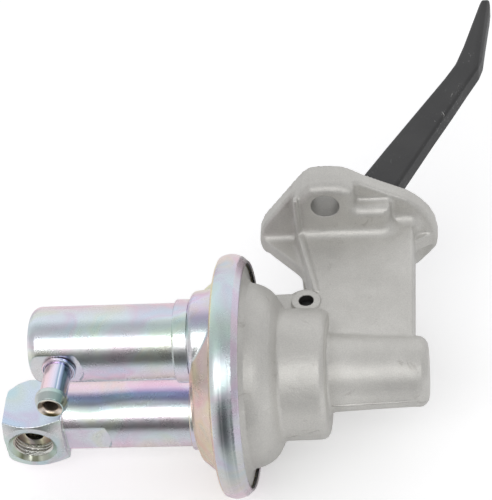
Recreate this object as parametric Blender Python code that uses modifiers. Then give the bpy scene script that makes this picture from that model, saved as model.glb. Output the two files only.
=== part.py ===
"""Mechanical diaphragm fuel pump, lever driven, with two side-by-side fuel necks.

Frame: metres. The origin is midway between the two mounting bolts, on the mounting face.
+X runs along the pump axis from the fuel fittings to the spring tower, +Y points out of
the mounting face into the engine, and +Z runs along the rocker's pivot pin.

The dimensions below are in millimetres in the pump's working frame:
p along the pump axis (0 at the lip of the rolled rim), n from the pump axis towards the
mounting face, q along the pivot pin. M() turns them into metres in the part's frame.
"""

import math

import bmesh
import bpy
from mathutils import Euler, Matrix, Vector

# ---------------------------------------------------------------- driving dimensions
BOLT_P, BOLT_Q, BOLT_R = 27.2, 25.4, 5.4        # mounting bolts: position, half spacing, hole radius
FACE_N = 77.0                                   # mounting face from the pump axis
PLATE_N, PAD_N = 70.8, 64.0                     # back faces: thin flange, bolt pads
NECK_Q = 11.0                                   # half width of the neck
SLOT_Q = 6.6                                    # half width of the arm's slot
PIVOT_P, PIVOT_N = 20.4, 26.9                   # pivot pin
PIN_R, EYE_HOLE_R, EYE_R = 2.7, 3.0, 5.2
ARM_Q = 4.1                                     # half thickness of the arm
RIM_R = 45.8                                    # outside of the rolled rim
NECK_SEP = 19.7                                 # each fuel neck's distance from the pump axis
CAN_R, CAN_WALL, CAN_END = 14.2, 1.2, -80.0
BAR_R = 13.0
BLOCK = (-95.3, -72.8, -15.1, 8.2, -31.6, -7.5)  # square fitting end: p, n, q limits before its turn
PORT_TURN = math.radians(5.0)  # the square end is turned a little round the bar
PORT_P, PORT_R = -85.1, 7.25
BARB_P = -68.6
GAP = 0.3                                       # clearance left between separate pieces

MM = 0.001


def M(p, n, q):
    return Vector(((p - BOLT_P) * MM, (n - FACE_N) * MM, q * MM))


# ---------------------------------------------------------------- clean start, collections
for ob in list(bpy.data.objects):
    bpy.data.objects.remove(ob, do_unlink=True)

parts = bpy.data.collections.new("fuel_pump")
cutters = bpy.data.collections.new("cutters")
bpy.context.scene.collection.children.link(parts)
bpy.context.scene.collection.children.link(cutters)


def material(name, rgb, rough, metal):
    mat = bpy.data.materials.new(name)
    mat.use_nodes = True
    b = mat.node_tree.nodes["Principled BSDF"]
    b.inputs["Base Color"].default_value = (*rgb, 1.0)
    b.inputs["Roughness"].default_value = rough
    b.inputs["Metallic"].default_value = metal
    return mat


CAST = material("cast_alloy", (0.50, 0.49, 0.47), 0.62, 0.55)
ZINC = material("clear_zinc", (0.80, 0.80, 0.82), 0.25, 1.0)
ZINC2 = material("clear_zinc_fitting", (0.76, 0.80, 0.83), 0.22, 1.0)
BLACK = material("black_forging", (0.06, 0.06, 0.06), 0.5, 0.6)
STEEL = material("bright_steel", (0.62, 0.62, 0.63), 0.3, 1.0)
SPRING = material("spring_steel", (0.40, 0.40, 0.41), 0.35, 1.0)
RUBBER = material("rubber", (0.03, 0.03, 0.03), 0.7, 0.0)
FABRIC = material("coated_fabric", (0.10, 0.08, 0.06), 0.8, 0.0)
BRASS = material("brass", (0.72, 0.55, 0.28), 0.35, 1.0)


def finish(ob, coll, mat=None):
    coll.objects.link(ob)
    if mat is not None:
        ob.data.materials.append(mat)
    if coll is cutters:
        ob.hide_render = True
        ob.display_type = "WIRE"
    return ob


# local +Z turned onto each axis
TURN = {"P": Euler((0.0, math.pi / 2, 0.0)), "N": Euler((-math.pi / 2, 0.0, 0.0)), "Q": Euler((0.0, 0.0, 0.0))}


def turned(name, prof, at, axis="P", steps=40, coll=parts, mat=None, ring=False, smooth=True):
    """A turned piece: prof is (height along the axis, radius), top to bottom on its outside."""
    me = bpy.data.meshes.new(name)
    bm = bmesh.new()
    vs = [bm.verts.new((r * MM, 0.0, h * MM)) for h, r in prof]
    for a, b in zip(vs, vs[1:]):
        bm.edges.new((a, b))
    if ring:
        bm.edges.new((vs[-1], vs[0]))
    bm.to_mesh(me)
    bm.free()
    ob = bpy.data.objects.new(name, me)
    ob.location = M(*at)
    ob.rotation_euler = TURN[axis]
    mod = ob.modifiers.new("turn", "SCREW")
    mod.axis = "Z"
    mod.angle = 2 * math.pi
    mod.steps = mod.render_steps = steps
    mod.use_merge_vertices = True
    mod.merge_threshold = 0.00001
    mod.use_smooth_shade = smooth
    return finish(ob, coll, mat)


def meshed(ob, coll, mat):
    """The curve object as a mesh object with welded caps, in the same place."""
    dg = bpy.context.evaluated_depsgraph_get()
    dg.update()
    me = bpy.data.meshes.new_from_object(ob.evaluated_get(dg))
    name, mw = ob.name, ob.matrix_world.copy()
    bpy.data.objects.remove(ob, do_unlink=True)
    bm = bmesh.new()
    bm.from_mesh(me)
    bmesh.ops.remove_doubles(bm, verts=bm.verts, dist=0.000002)
    bmesh.ops.dissolve_limit(bm, angle_limit=0.0005, verts=bm.verts, edges=bm.edges)
    bmesh.ops.recalc_face_normals(bm, faces=bm.faces)
    bm.to_mesh(me)
    bm.free()
    me.materials.clear()
    new = bpy.data.objects.new(name, me)
    new.name = name
    new.matrix_world = mw
    finish(new, coll, mat)
    return new


def outline(name, pts, lo, hi, plane="PN", at=(0, 0, 0), coll=parts, mat=None, bevel=0.0, segments=2):
    """A flat outline given thickness: plane PN runs lo..hi along q, plane PQ runs lo..hi along n."""
    cu = bpy.data.curves.new(name, "CURVE")
    cu.dimensions = "2D"
    cu.fill_mode = "BOTH"
    cu.extrude = (hi - lo) / 2 * MM
    sp = cu.splines.new("POLY")
    sp.points.add(len(pts) - 1)
    for k, (a, b) in enumerate(pts):
        sp.points[k].co = ((a - at[0]) * MM, (b - (at[1] if plane == "PN" else at[2])) * MM, 0.0, 1.0)
    sp.use_cyclic_u = True
    ob = bpy.data.objects.new(name, cu)
    bpy.context.scene.collection.objects.link(ob)
    mid = (lo + hi) / 2
    if plane == "PN":
        ob.location = M(at[0], at[1], mid)
    else:
        ob.location = M(at[0], mid, at[2])
        ob.rotation_euler = Euler((math.pi / 2, 0.0, 0.0))
    bpy.context.view_layer.update()
    ob = meshed(ob, coll, mat)
    if bevel:
        m = ob.modifiers.new("edge", "BEVEL")
        m.width = bevel * MM
        m.segments = segments
        m.limit_method = "ANGLE"
        m.angle_limit = math.radians(50)
    return ob


def block(name, p0, p1, n0, n1, q0, q1, coll=parts, mat=None, bevel=0.0, segments=2):
    me = bpy.data.meshes.new(name)
    bm = bmesh.new()
    bmesh.ops.create_cube(bm, size=1.0)
    for v in bm.verts:
        v.co = Vector((v.co.x * (p1 - p0), v.co.y * (n1 - n0), v.co.z * (q1 - q0))) * MM
    bm.to_mesh(me)
    bm.free()
    ob = bpy.data.objects.new(name, me)
    ob.location = M((p0 + p1) / 2, (n0 + n1) / 2, (q0 + q1) / 2)
    finish(ob, coll, mat)
    if bevel:
        m = ob.modifiers.new("edge", "BEVEL")
        m.width = bevel * MM
        m.segments = segments
        m.limit_method = "ANGLE"
        m.angle_limit = math.radians(50)
    return ob


def bar(name, at, lo, hi, r, axis, steps=32, coll=cutters, mat=None):
    """A plain cylinder from lo to hi along an axis through at."""
    at = {"P": (0, at[0], at[1]), "N": (at[0], 0, at[1]), "Q": (at[0], at[1], 0)}[axis]
    return turned(name, [(hi, 0), (hi, r), (lo, r), (lo, 0)], at, axis, steps, coll, mat)


def boolean(ob, kind, *others):
    for o in others:
        m = ob.modifiers.new(kind.lower(), "BOOLEAN")
        m.operation = kind
        m.solver = "EXACT"
        m.object = o
    return ob


def arc(cx, cy, r, a0, a1, n):
    return [(cx + r * math.cos(math.radians(a0 + (a1 - a0) * k / n)),
             cy + r * math.sin(math.radians(a0 + (a1 - a0) * k / n))) for k in range(n + 1)]


def coil(name, at, axis, length, r, wire, turns, mat, per_turn=12, res=2):
    """A compression spring with flattened end turns, standing on at along the axis."""
    cu = bpy.data.curves.new(name, "CURVE")
    cu.dimensions = "3D"
    cu.bevel_depth = wire / 2 * MM
    cu.bevel_resolution = res
    cu.use_fill_caps = True
    n = int(turns * per_turn)
    sp = cu.splines.new("POLY")
    sp.points.add(n)
    for k in range(n + 1):
        t = k / n
        a = 2 * math.pi * turns * t
        # closed first and last turns, even pitch between them
        e = 0.9 / turns
        if t < e:
            z = wire / 2 + wire * 1.12 * (t / e)
        elif t > 1 - e:
            z = length - wire / 2 - wire * 1.12 * ((1 - t) / e)
        else:
            z = wire * 1.62 + (length - wire * 3.24) * (t - e) / (1 - 2 * e)
        sp.points[k].co = (r * math.cos(a) * MM, r * math.sin(a) * MM, z * MM, 1.0)
    ob = bpy.data.objects.new(name, cu)
    ob.location = M(*at)
    ob.rotation_euler = TURN[axis]
    parts.objects.link(ob)
    cu.materials.append(mat)
    return ob


# ---------------------------------------------------------------- 1. body casting
# bell, web and stepped spring tower, turned about the pump axis
body = turned(
    "body_casting",
    [(66.4, 0), (66.4, 9.6), (65.7, 11.6), (64.4, 12.7), (62.6, 13.2), (31.0, 14.7), (29.7, 15.2), (29.2, 16.4),
     (29.2, 21.6), (28.4, 23.5), (26.6, 24.4), (13.6, 24.6), (12.3, 25.2), (11.2, 27.2), (9.6, 30.0), (7.4, 32.4),
     (4.4, 34.0), (0.8, 35.0), (-0.7, 36.4), (-1.7, 39.0), (-1.7, 43.8), (-7.6, 43.8), (-7.6, 0)],
    (0, 0, 0), steps=40, mat=CAST)

# neck: a hollow box from the tower to the flange, leaning back along its left edge
neck = outline("neck_solid", [(24.4, 8), (60.9, 8), (60.2, 72.4), (14.8, 72.4), (15.2, 63), (23.2, 31)],
               -NECK_Q, NECK_Q, coll=cutters, bevel=1.0)
pivot_drum = bar("pivot_drum", (PIVOT_P, PIVOT_N), -9.6, 9.6, 8.8, "Q", 28)
web_flat = outline("web_solid", [(8.6, 10), (24.6, 10), (23.0, 30.4), (13.0, 30.6), (8.6, 29.6)], -10.2, 10.2,
                   coll=cutters)
boss = bar("pin_boss", (PIVOT_P, PIVOT_N), -12.0, 12.0, 5.6, "Q", 24)

# flange outline (p, q): a rounded diamond
edge_up = [(69.6, 0.0), (68.5, 7.4), (66.4, 12.4), (63.3, 16.7), (58.6, 21.0), (50.4, 25.2), (42.2, 29.5),
           (36.6, 33.2), (33.4, 34.5), (27.4, 35.0), (21.6, 34.6), (18.6, 32.4), (10.0, 21.2), (1.8, 10.4),
           (-0.2, 5.6), (-0.7, 1.0), (-0.1, -2.4)]
edge_down = [(2.4, -5.8), (7.9, -12.2), (12.4, -18.3), (15.0, -24.4), (16.6, -29.6), (19.6, -33.4), (24.0, -35.2),
             (30.6, -35.2), (34.8, -33.6), (44.0, -28.0), (53.0, -21.6), (60.4, -14.2), (65.2, -9.4), (68.7, -4.8)]
flange = outline("flange_solid", edge_up + edge_down, PLATE_N, FACE_N, "PQ", coll=cutters, bevel=0.7, segments=2)
# bolt pads: thick to the flange's edge round each bolt, lower towards the neck's far side
pad_up = outline("pad_up", [(14.9, 4), (52.0, 4), (52.0, 22.4), (38.4, 22.4), (38.2, 31.6), (36.2, 33.0),
                            (33.2, 34.1), (27.4, 34.6), (21.8, 34.2), (18.9, 32.1), (14.9, 26.9)],
                 PAD_N, PLATE_N + 2, "PQ", coll=cutters, bevel=1.3, segments=2)
pad_down = outline("pad_down", [(52.0, -4), (14.9, -4), (15.4, -24.2), (17.0, -29.4), (19.9, -33.0), (24.1, -34.7),
                                (30.5, -34.7), (34.6, -33.2), (38.2, -31.0), (38.4, -21.8), (52.0, -21.8)],
                   PAD_N, PLATE_N + 2, "PQ", coll=cutters, bevel=1.3, segments=2)
# thin webs that stiffen the flange's two ends, and the raised line along the neck's left edge
gusset = outline("gusset_solid", [(1.3, 72), (1.6, 69.4), (7.7, 62.6), (12.6, 57.4), (17.2, 52.2), (19.4, 48.6),
                                  (24, 46), (24, 72)], -3.0, 3.0, coll=cutters)
gusset2 = outline("gusset_solid_2", [(59, 64), (61.0, 66.4), (68.2, 71.0), (68.0, 72.2), (59, 72.2)], -3.0, 3.0,
                  coll=cutters)
rib = outline("rib_solid", [(15.1, 64.6), (16.9, 64.6), (24.9, 32.2), (23.1, 32.2)], -11.9, 11.9, coll=cutters)
rib_up = block("rib_up", 15.1, 16.9, 63.0, 66.0, 10.0, 29.6, coll=cutters)
rib_down = block("rib_down", 15.6, 17.4, 63.0, 66.0, -24.0, -10.0, coll=cutters)
boolean(body, "UNION", neck, pivot_drum, web_flat, boss, flange, pad_up, pad_down, gusset, gusset2, rib, rib_up,
        rib_down)

# inside: spring bore, lever chamber, seal pocket, diaphragm bell
hollow = turned("hollow", [(64.0, 0), (64.0, 10.2), (27.2, 10.2), (27.2, 19.4), (14.4, 19.4), (14.4, 5.2),
                           (12.9, 5.2), (12.9, 7.4), (9.4, 7.4), (9.4, 10.4), (7.9, 10.4), (7.9, 20.0),
                           (6.8, 24.2), (4.4, 27.8), (0.6, 29.9), (-3.0, 30.4), (-9.0, 30.4), (-9.0, 0)],
                (0, 0, 0), steps=28, coll=cutters)
# the arm's slot through neck and flange, with room for the return spring beside the lever
slot = outline("slot", [(14.6, 11.0), (57.0, 12.6), (57.0, 61.0), (44.9, 70.6), (44.9, 79.0), (14.4, 79.0),
                        (14.4, 71.0), (18.9, 62.4), (21.9, 52.6), (24.0, 45.0), (24.9, 37.4)]
               + arc(PIVOT_P, PIVOT_N, 6.1, 66, 190, 9), -SLOT_Q, SLOT_Q, coll=cutters)
bolt_a = bar("bolt_a", (BOLT_P, BOLT_Q), 60.0, 80.0, BOLT_R, "N", 32)
bolt_b = bar("bolt_b", (BOLT_P, -BOLT_Q), 60.0, 80.0, BOLT_R, "N", 32)
pin_bore = bar("pin_bore", (PIVOT_P, PIVOT_N), -16.0, 16.0, PIN_R + GAP, "Q", 24)
boolean(body, "DIFFERENCE", hollow, slot, bolt_a, bolt_b, pin_bore)

# ---------------------------------------------------------------- 2. cover with the rolled rim
cover = turned(
    "cover_shell",
    [(0.0, 41.6), (0.0, 43.6), (-0.6, 44.5), (-1.9, 45.0), (-3.9, 45.6), (-5.9, 45.8), (-7.9, 45.6), (-9.9, 44.9),
     (-10.7, 43.8), (-10.8, 42.0), (-10.8, 38.6), (-11.3, 37.0), (-12.6, 36.0), (-15.4, 33.8), (-17.6, 31.6), (-19.0, 28.6),
     (-19.6, 25.0), (-19.6, 0), (0.0, 0)],
    (0, 0, 0), steps=40, mat=ZINC)
neck_in = turned("neck_in_out", [(-12.0, 0), (-12.0, 19.0), (-16.4, 18.6), (-18.0, 18.1), (-19.2, 17.1),
                                 (-19.8, 15.9), (-19.8, 0)], (0, 0, NECK_SEP), steps=28, coll=cutters)
neck_out = turned("neck_out_out", [(-12.0, 0), (-12.0, 15.6), (-19.0, 15.4), (-20.8, 14.6), (-24.2, 14.5),
                                   (-24.2, 0)], (0, 0, -NECK_SEP), steps=28, coll=cutters)
boolean(cover, "UNION", neck_in, neck_out)
inside = turned("cover_inside", [(6.0, 0), (6.0, 42.2), (-1.2, 42.2), (-1.2, 44.3), (-9.5, 44.3), (-9.5, 35.8),
                                 (-11.6, 35.2), (-14.8, 32.6), (-16.9, 30.6), (-18.1, 28.0), (-18.6, 24.6),
                                 (-18.6, 0)], (0, 0, 0), steps=32, coll=cutters)
bore_in = turned("neck_in_in", [(-11.0, 0), (-11.0, 17.7), (-16.2, 17.4), (-17.4, 16.9), (-18.6, 15.0),
                                (-25.0, 15.0), (-25.0, 0)], (0, 0, NECK_SEP), steps=28, coll=cutters)
bore_out = turned("neck_out_in", [(-11.0, 0), (-11.0, 14.2), (-18.8, 14.0), (-20.2, 13.4), (-25.0, 13.4),
                                  (-25.0, 0)], (0, 0, -NECK_SEP), steps=28, coll=cutters)
boolean(cover, "DIFFERENCE", inside, bore_in, bore_out)

# ---------------------------------------------------------------- 3. inlet canister
can = turned(
    "inlet_canister",
    [(-18.0, 0), (-18.0, 14.7), (-20.2, 14.7), (-20.2, 15.5), (-25.0, 15.5), (-25.4, 15.2), (-25.6, CAN_R)]
    + [(CAN_END + 4.2 - 4.2 * math.sin(a), CAN_R - 4.2 + 4.2 * math.cos(a)) for a in
       [math.pi / 2 * k / 5 for k in range(6)]] + [(CAN_END, 0)],
    (0, 0, NECK_SEP), steps=32, mat=ZINC)
FLAT_N = -12.4                                   # pressed flat on the canister
can_hollow = turned(
    "canister_hollow",
    [(-17.0, 0), (-17.0, 12.9)] + [(CAN_END + 1.2 + 3.4 - 3.4 * math.sin(a), 12.9 - 3.4 + 3.4 * math.cos(a))
                                   for a in [math.pi / 2 * k / 4 for k in range(5)]] + [(CAN_END + 1.2, 0)],
    (0, 0, NECK_SEP), steps=24, coll=cutters)
boolean(can_hollow, "DIFFERENCE",
        outline("flat_floor", [(-90, 2), (-68.6, 2)] + arc(-68.6, NECK_SEP, 10.6, -90, 90, 10)
                + [(-68.6, 38), (-90, 38)], -20.0, FLAT_N + 1.2, "PQ", coll=cutters))
flat_cut = outline("flat_cut", [(-90, NECK_SEP - 9.4), (-68.8, NECK_SEP - 9.4)] + arc(-68.8, NECK_SEP, 9.4, -90, 90, 10)
                   + [(-90, NECK_SEP + 9.4)], -20.0, FLAT_N, "PQ", coll=cutters)
boolean(can, "DIFFERENCE", flat_cut, can_hollow,
        bar("barb_hole", (BARB_P, NECK_SEP), -20.0, -8.0, 4.3, "N", 24))

# ---------------------------------------------------------------- 4. hose barb
turned("hose_barb", [(-9.6, 2.9), (-9.6, 4.0), (-12.7, 4.0), (-12.7, 6.6), (-13.5, 6.4), (-14.2, 5.2), (-26.6, 5.0),
                     (-27.0, 5.2), (-27.6, 6.0), (-29.4, 6.0), (-31.4, 5.0), (-31.8, 4.4), (-31.8, 3.5),
                     (-30.6, 3.3), (-12.0, 3.3), (-10.4, 2.9)],
       (BARB_P, 0, NECK_SEP), "N", 20, mat=ZINC2, ring=True)

# ---------------------------------------------------------------- 5. outlet fitting: round bar, square end
fitting = turned("outlet_fitting", [(-19.2, 0), (-19.2, 13.0), (-24.6, 13.0), (-24.6, 13.3), (-25.2, BAR_R),
                                    (-74.0, BAR_R), (-74.0, 0)], (0, 0, -NECK_SEP), steps=32, mat=ZINC)
p0, p1, n0, n1, q0, q1 = BLOCK
square = outline("square_end", [(p0, n0), (p1, n0), (p1, n1 - 3.0), (p1 - 4.0, n1), (p0 + 9.0, n1), (p0 + 1.6, n1 - 4.6),
                                (p0, n1 - 10.0)], q0, q1, coll=cutters, bevel=0.5, segments=1)
# the port's side of the square end is turned to a shallow cone outside the port's flat ring
boolean(square, "INTERSECT",
        turned("end_cone", [(20.0, 0), (20.0, 30.0), (n0 + 18.4 * 0.66, 30.0), (n0 - 1.056, 10.0), (n0 - 1.056, 0)],
               (PORT_P, 0, -NECK_SEP), "N", 48, coll=cutters))
# square end, port and flat lean together, turned round the bar's own axis
bar_axis = Matrix.Translation((0, -FACE_N * MM, -NECK_SEP * MM))
lean = bar_axis @ Matrix.Rotation(PORT_TURN, 4, "X") @ bar_axis.inverted()
square.matrix_basis = lean @ square.matrix_basis
boolean(fitting, "UNION", square)
leaning = [
        outline("bar_flat", [(p1 - 0.2, -NECK_SEP - 9.6), (-64.6, -NECK_SEP - 9.6)]
                + arc(-64.6, -NECK_SEP, 9.6, -90, 90, 10) + [(p1 - 0.2, -NECK_SEP + 9.6)], -20.0, -11.5, "PQ",
                coll=cutters),
        turned("port_cut", [(2.2, 0), (0.4, 3.8), (-9.2, 3.8), (-10.4, PORT_R), (-13.6, PORT_R), (-15.2, 9.1),
                            (-20.0, 9.4), (-20.0, 0)],
               (PORT_P, 0, -NECK_SEP), "N", 32, coll=cutters)]
for cutter in leaning:
    cutter.matrix_basis = lean @ cutter.matrix_basis
boolean(fitting, "DIFFERENCE", *leaning,
        turned("fuel_bore", [(-10.0, 0), (-10.0, 8.2), (-26.0, 8.2), (-28.0, 4.6), (-84.0, 4.6), (-84.0, 0)],
               (0, 0, -NECK_SEP), "P", 24, coll=cutters))

# ---------------------------------------------------------------- 6. rocker arm
arm = outline(
    "rocker_arm",
    # right (cam) edge, from the lever up to the tip
    [(22.9, -1.4), (22.9, 8.0), (24.4, 13.2), (27.4, 14.4), (27.4, 24.6), (30.6, 28.4), (35.4, 38.0), (38.4, 50.0),
     (41.0, 62.0), (44.3, 77.0), (56.2, 104.0), (67.3, 128.5), (75.5, 146.0), (81.5, 159.3), (86.6, 170.2),
     (88.2, 176.0), (89.4, 188.0), (91.4, 206.0), (91.9, 212.6), (91.2, 215.6), (89.6, 216.0)]
    # left edge, back down
    + [(88.1, 213.0), (83.5, 195.8), (80.1, 184.2), (76.7, 172.8), (72.2, 163.8), (62.2, 145.9), (47.7, 119.9),
       (39.8, 105.4), (31.8, 91.0), (24.4, 77.2), (25.6, 62.0), (26.8, 52.0), (28.2, 44.0), (28.0, 37.4),
       (24.4, 31.9)]
    + arc(PIVOT_P, PIVOT_N, EYE_R, 56, 180, 6)
    + [(15.6, 20.0), (17.9, 7.0), (18.2, -4.4), (22.0, -4.4)],
    -ARM_Q, ARM_Q, at=(PIVOT_P, PIVOT_N, 0), mat=BLACK, bevel=0.9, segments=1)
fork = outline("fork_solid", [(18.0, -4.3), (21.9, -4.3), (22.8, -1.4), (22.8, 9.0), (18.0, 9.0)], -6.2, 6.2,
               coll=cutters, bevel=0.4, segments=1)
eye = bar("eye_solid", (PIVOT_P, PIVOT_N), -6.2, 6.2, EYE_R - 0.05, "Q", 28)
boolean(arm, "UNION", fork, eye)
fork_slot = outline("fork_slot", [(10, -10), (30, -10), (30, 2.0), (28, 3.2), (12, 3.2), (10, 2.0)], -3.1, 3.1,
                    coll=cutters)
boolean(arm, "DIFFERENCE", fork_slot, bar("eye_hole", (PIVOT_P, PIVOT_N), -9.0, 9.0, EYE_HOLE_R, "Q", 24))

# ---------------------------------------------------------------- 7. pivot pin
pin = turned("pivot_pin", [(9.2, 0), (9.2, PIN_R - 0.5), (8.7, PIN_R), (-8.7, PIN_R), (-9.2, PIN_R - 0.5),
                           (-9.2, 0)], (PIVOT_P, PIVOT_N, 0), "Q", 24, mat=STEEL)

# ---------------------------------------------------------------- 8. arm's return spring
coil("rocker_return_spring", (27.8, 19.4, 0), "P", 28.9, 4.3, 1.2, 7, SPRING, per_turn=9, res=1)

# ---------------------------------------------------------------- 9-17. diaphragm stack, pull rod, seal, spring
turned("pull_rod", [(22.7 + 3.0, 0), (25.7, 2.3), (25.3, 2.5), (-12.9, 2.5), (-13.3, 2.1), (-13.3, 0)], (0, 0, 0),
       steps=20, mat=STEEL)
turned("spring_seat", [(23.4, 2.8), (23.4, 9.2), (24.0, 9.6), (26.8, 9.6), (26.8, 8.8), (24.8, 8.6), (24.8, 2.8)]
       [::-1], (0, 0, 0), steps=20, mat=STEEL, ring=True)
turned("upper_plate", [(-6.4, 2.8), (-6.4, 23.0), (-5.4, 24.2), (-5.0, 25.0), (-5.9, 25.2), (-7.5, 24.0), (-7.5, 2.8)],
       (0, 0, 0), steps=24, mat=STEEL, ring=True)
turned("diaphragm", [(-7.9, 2.8), (-7.9, 43.6), (-9.2, 43.6), (-9.2, 2.8)], (0, 0, 0), steps=28, mat=FABRIC,
       ring=True)
turned("lower_plate", [(-9.5, 2.8), (-9.5, 23.6), (-11.2, 24.8), (-11.7, 24.0), (-10.5, 23.0), (-10.5, 2.8)],
       (0, 0, 0), steps=24, mat=STEEL, ring=True)
nut = turned("rod_nut", [(-10.8, 0), (-10.8, 4.9), (-12.6, 4.9), (-13.0, 4.3), (-13.0, 0)], (0, 0, 0), steps=6,
             mat=STEEL, smooth=False)
boolean(nut, "DIFFERENCE", bar("nut_bore", (0, 0), -15.0, -9.0, 2.8, "P", 20))
coil("diaphragm_spring", (25.2, 0, 0), "P", 38.4, 7.0, 1.7, 7, SPRING, per_turn=10, res=1)
turned("rod_seal", [(12.6, 2.8), (12.6, 7.1), (9.7, 7.1), (9.7, 5.2), (11.2, 4.6), (10.4, 2.8)], (0, 0, 0), steps=20,
       mat=RUBBER, ring=True)
turned("seal_retainer", [(9.1, 3.2), (9.1, 10.1), (8.1, 10.1), (8.1, 3.2)], (0, 0, 0), steps=20, mat=STEEL, ring=True)

# ---------------------------------------------------------------- 18-25. inlet and outlet valves
# each valve is its own set: seat pressed in the neck, disc, spring, and the stem that holds the spring


def valve(name, q, face, way, out):
    """A disc valve at q. Its seat's sealing face is at face, and the disc lifts towards way (+1 or -1)."""
    def stack(pts):
        pts = [(way * h, r) for h, r in pts]
        return pts if way > 0 else pts[::-1]
    at = (face, 0, q)
    seat = turned(name + "_valve_seat", stack([(0.0, 0), (0.0, 6.9), (-0.6, 7.4), (-0.6, out), (-1.8, out), (-1.8, 0)]),
                  at, steps=24, mat=BRASS)
    # four fuel holes under the disc, and a centre hole for the stem
    holes = [bar(f"{name}_hole_{k}", (3.9 * math.cos(math.pi / 2 * k + 0.785),
                                       q + 3.9 * math.sin(math.pi / 2 * k + 0.785)), face - 4, face + 4, 1.35, "P", 8)
             for k in range(4)]
    boolean(seat, "DIFFERENCE", *holes, bar(f"{name}_stem_hole", (0, q), face - 4, face + 4, 1.35, "P", 12))
    turned(name + "_valve_disc", stack([(1.1, 1.5), (1.1, 6.2), (0.3, 6.2), (0.3, 1.5)]), at, steps=20, mat=RUBBER,
           ring=True)
    turned(name + "_valve_stem", stack([(5.6, 0), (5.6, 3.4), (5.0, 3.4), (5.0, 1.0), (-2.6, 1.0), (-2.6, 0)]), at,
           steps=12, mat=STEEL)
    base = (face + 1.4 * way, 0, q) if way > 0 else (face - 4.7, 0, q)
    coil(name + "_valve_spring", base, "P", 3.3, 2.4, 0.5, 3, SPRING, per_turn=8, res=1)


valve("inlet", NECK_SEP, -18.6, 1, 12.6)
valve("outlet", -NECK_SEP, -18.7, -1, 13.6)

bpy.context.view_layer.update()
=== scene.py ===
"""Looks for the mechanical diaphragm fuel pump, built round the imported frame.

Shapes are written in the pump's working millimetres, as the part's solids are:
p along the pump axis, n towards the mounting face, q along the pivot pin.
world X = (p - 27.2) / 1000, Y = (n - 77) / 1000, Z = q / 1000.
Each cast or pressed piece is a distance field (turned profiles, outlines and drums joined
with true fillets) that is turned into a fine mesh, so that its edges are rounded as cast.
"""

import math

import bmesh
import bpy
import numpy as np
from mathutils import Matrix, Vector


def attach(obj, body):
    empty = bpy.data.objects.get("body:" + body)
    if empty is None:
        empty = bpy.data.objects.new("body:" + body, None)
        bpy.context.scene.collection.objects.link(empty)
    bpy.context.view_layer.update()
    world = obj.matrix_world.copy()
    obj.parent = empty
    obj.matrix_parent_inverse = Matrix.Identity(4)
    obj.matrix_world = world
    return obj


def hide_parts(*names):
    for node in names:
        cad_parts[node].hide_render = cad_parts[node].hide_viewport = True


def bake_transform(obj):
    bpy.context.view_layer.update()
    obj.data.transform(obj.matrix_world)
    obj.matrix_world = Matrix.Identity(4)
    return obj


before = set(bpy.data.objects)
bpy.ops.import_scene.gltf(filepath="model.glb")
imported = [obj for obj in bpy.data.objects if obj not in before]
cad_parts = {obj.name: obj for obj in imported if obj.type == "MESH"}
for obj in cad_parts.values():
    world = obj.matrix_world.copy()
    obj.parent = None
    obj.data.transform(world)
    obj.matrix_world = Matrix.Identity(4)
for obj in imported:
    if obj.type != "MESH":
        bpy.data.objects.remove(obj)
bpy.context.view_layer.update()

BOLT_P, BOLT_Q, BOLT_R = 27.2, 25.4, 5.4
FACE_N, PLATE_N, PAD_N = 77.0, 70.8, 64.0
NECK_Q, SLOT_Q = 11.0, 6.6
PIVOT_P, PIVOT_N, PIN_R = 20.4, 26.9, 2.7
NECK_SEP, CAN_R, CAN_END, BAR_R = 19.7, 14.2, -80.0, 13.0
BLOCK = (-95.3, -72.8, -15.1, 8.2, -31.6, -7.5)
PORT_P, BARB_P = -85.1, -68.6
PORT_TURN = math.radians(5.0)   # the square end sits a little turned round the bar
COARSE = 1.0
F = np.float32


# ------------------------------------------------------------------ distance fields
def rounded(pts, seg=4):
    """Corner list (x, y) or (x, y, radius) as a plain outline with its corners rounded."""
    out = []
    n = len(pts)
    for i in range(n):
        c = np.array(pts[i][:2], float)
        r = pts[i][2] if len(pts[i]) > 2 else 0.0
        a = np.array(pts[i - 1][:2], float) - c
        b = np.array(pts[(i + 1) % n][:2], float) - c
        la, lb = np.linalg.norm(a), np.linalg.norm(b)
        a, b = a / la, b / lb
        cosv = float(np.clip(a @ b, -1, 1))
        half = math.acos(cosv) / 2
        if r <= 0 or half > math.pi / 2 - 0.03:
            out.append(tuple(c))
            continue
        t = min(r / math.tan(half), 0.48 * la, 0.48 * lb)
        r = t * math.tan(half)
        mid = (a + b) / np.linalg.norm(a + b)
        o = c + mid * (r / math.sin(half))
        s, e = c + a * t - o, c + b * t - o
        a0, a1 = math.atan2(s[1], s[0]), math.atan2(e[1], e[0])
        d = (a1 - a0 + math.pi) % (2 * math.pi) - math.pi
        for k in range(seg + 1):
            w = a0 + d * k / seg
            out.append((o[0] + r * math.cos(w), o[1] + r * math.sin(w)))
    return out


def curve(pts, sub=4):
    """Catmull-Rom points through pts."""
    P = [np.array(x, float) for x in pts]
    P = [2 * P[0] - P[1]] + P + [2 * P[-1] - P[-2]]
    out = []
    for i in range(1, len(P) - 2):
        for k in range(sub):
            t = k / sub
            out.append(tuple(0.5 * ((2 * P[i]) + (P[i + 1] - P[i - 1]) * t
                                    + (2 * P[i - 1] - 5 * P[i] + 4 * P[i + 1] - P[i + 2]) * t * t
                                    + (3 * P[i] - P[i - 1] - 3 * P[i + 1] + P[i + 2]) * t ** 3)))
    out.append(tuple(P[-2]))
    return out


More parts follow.
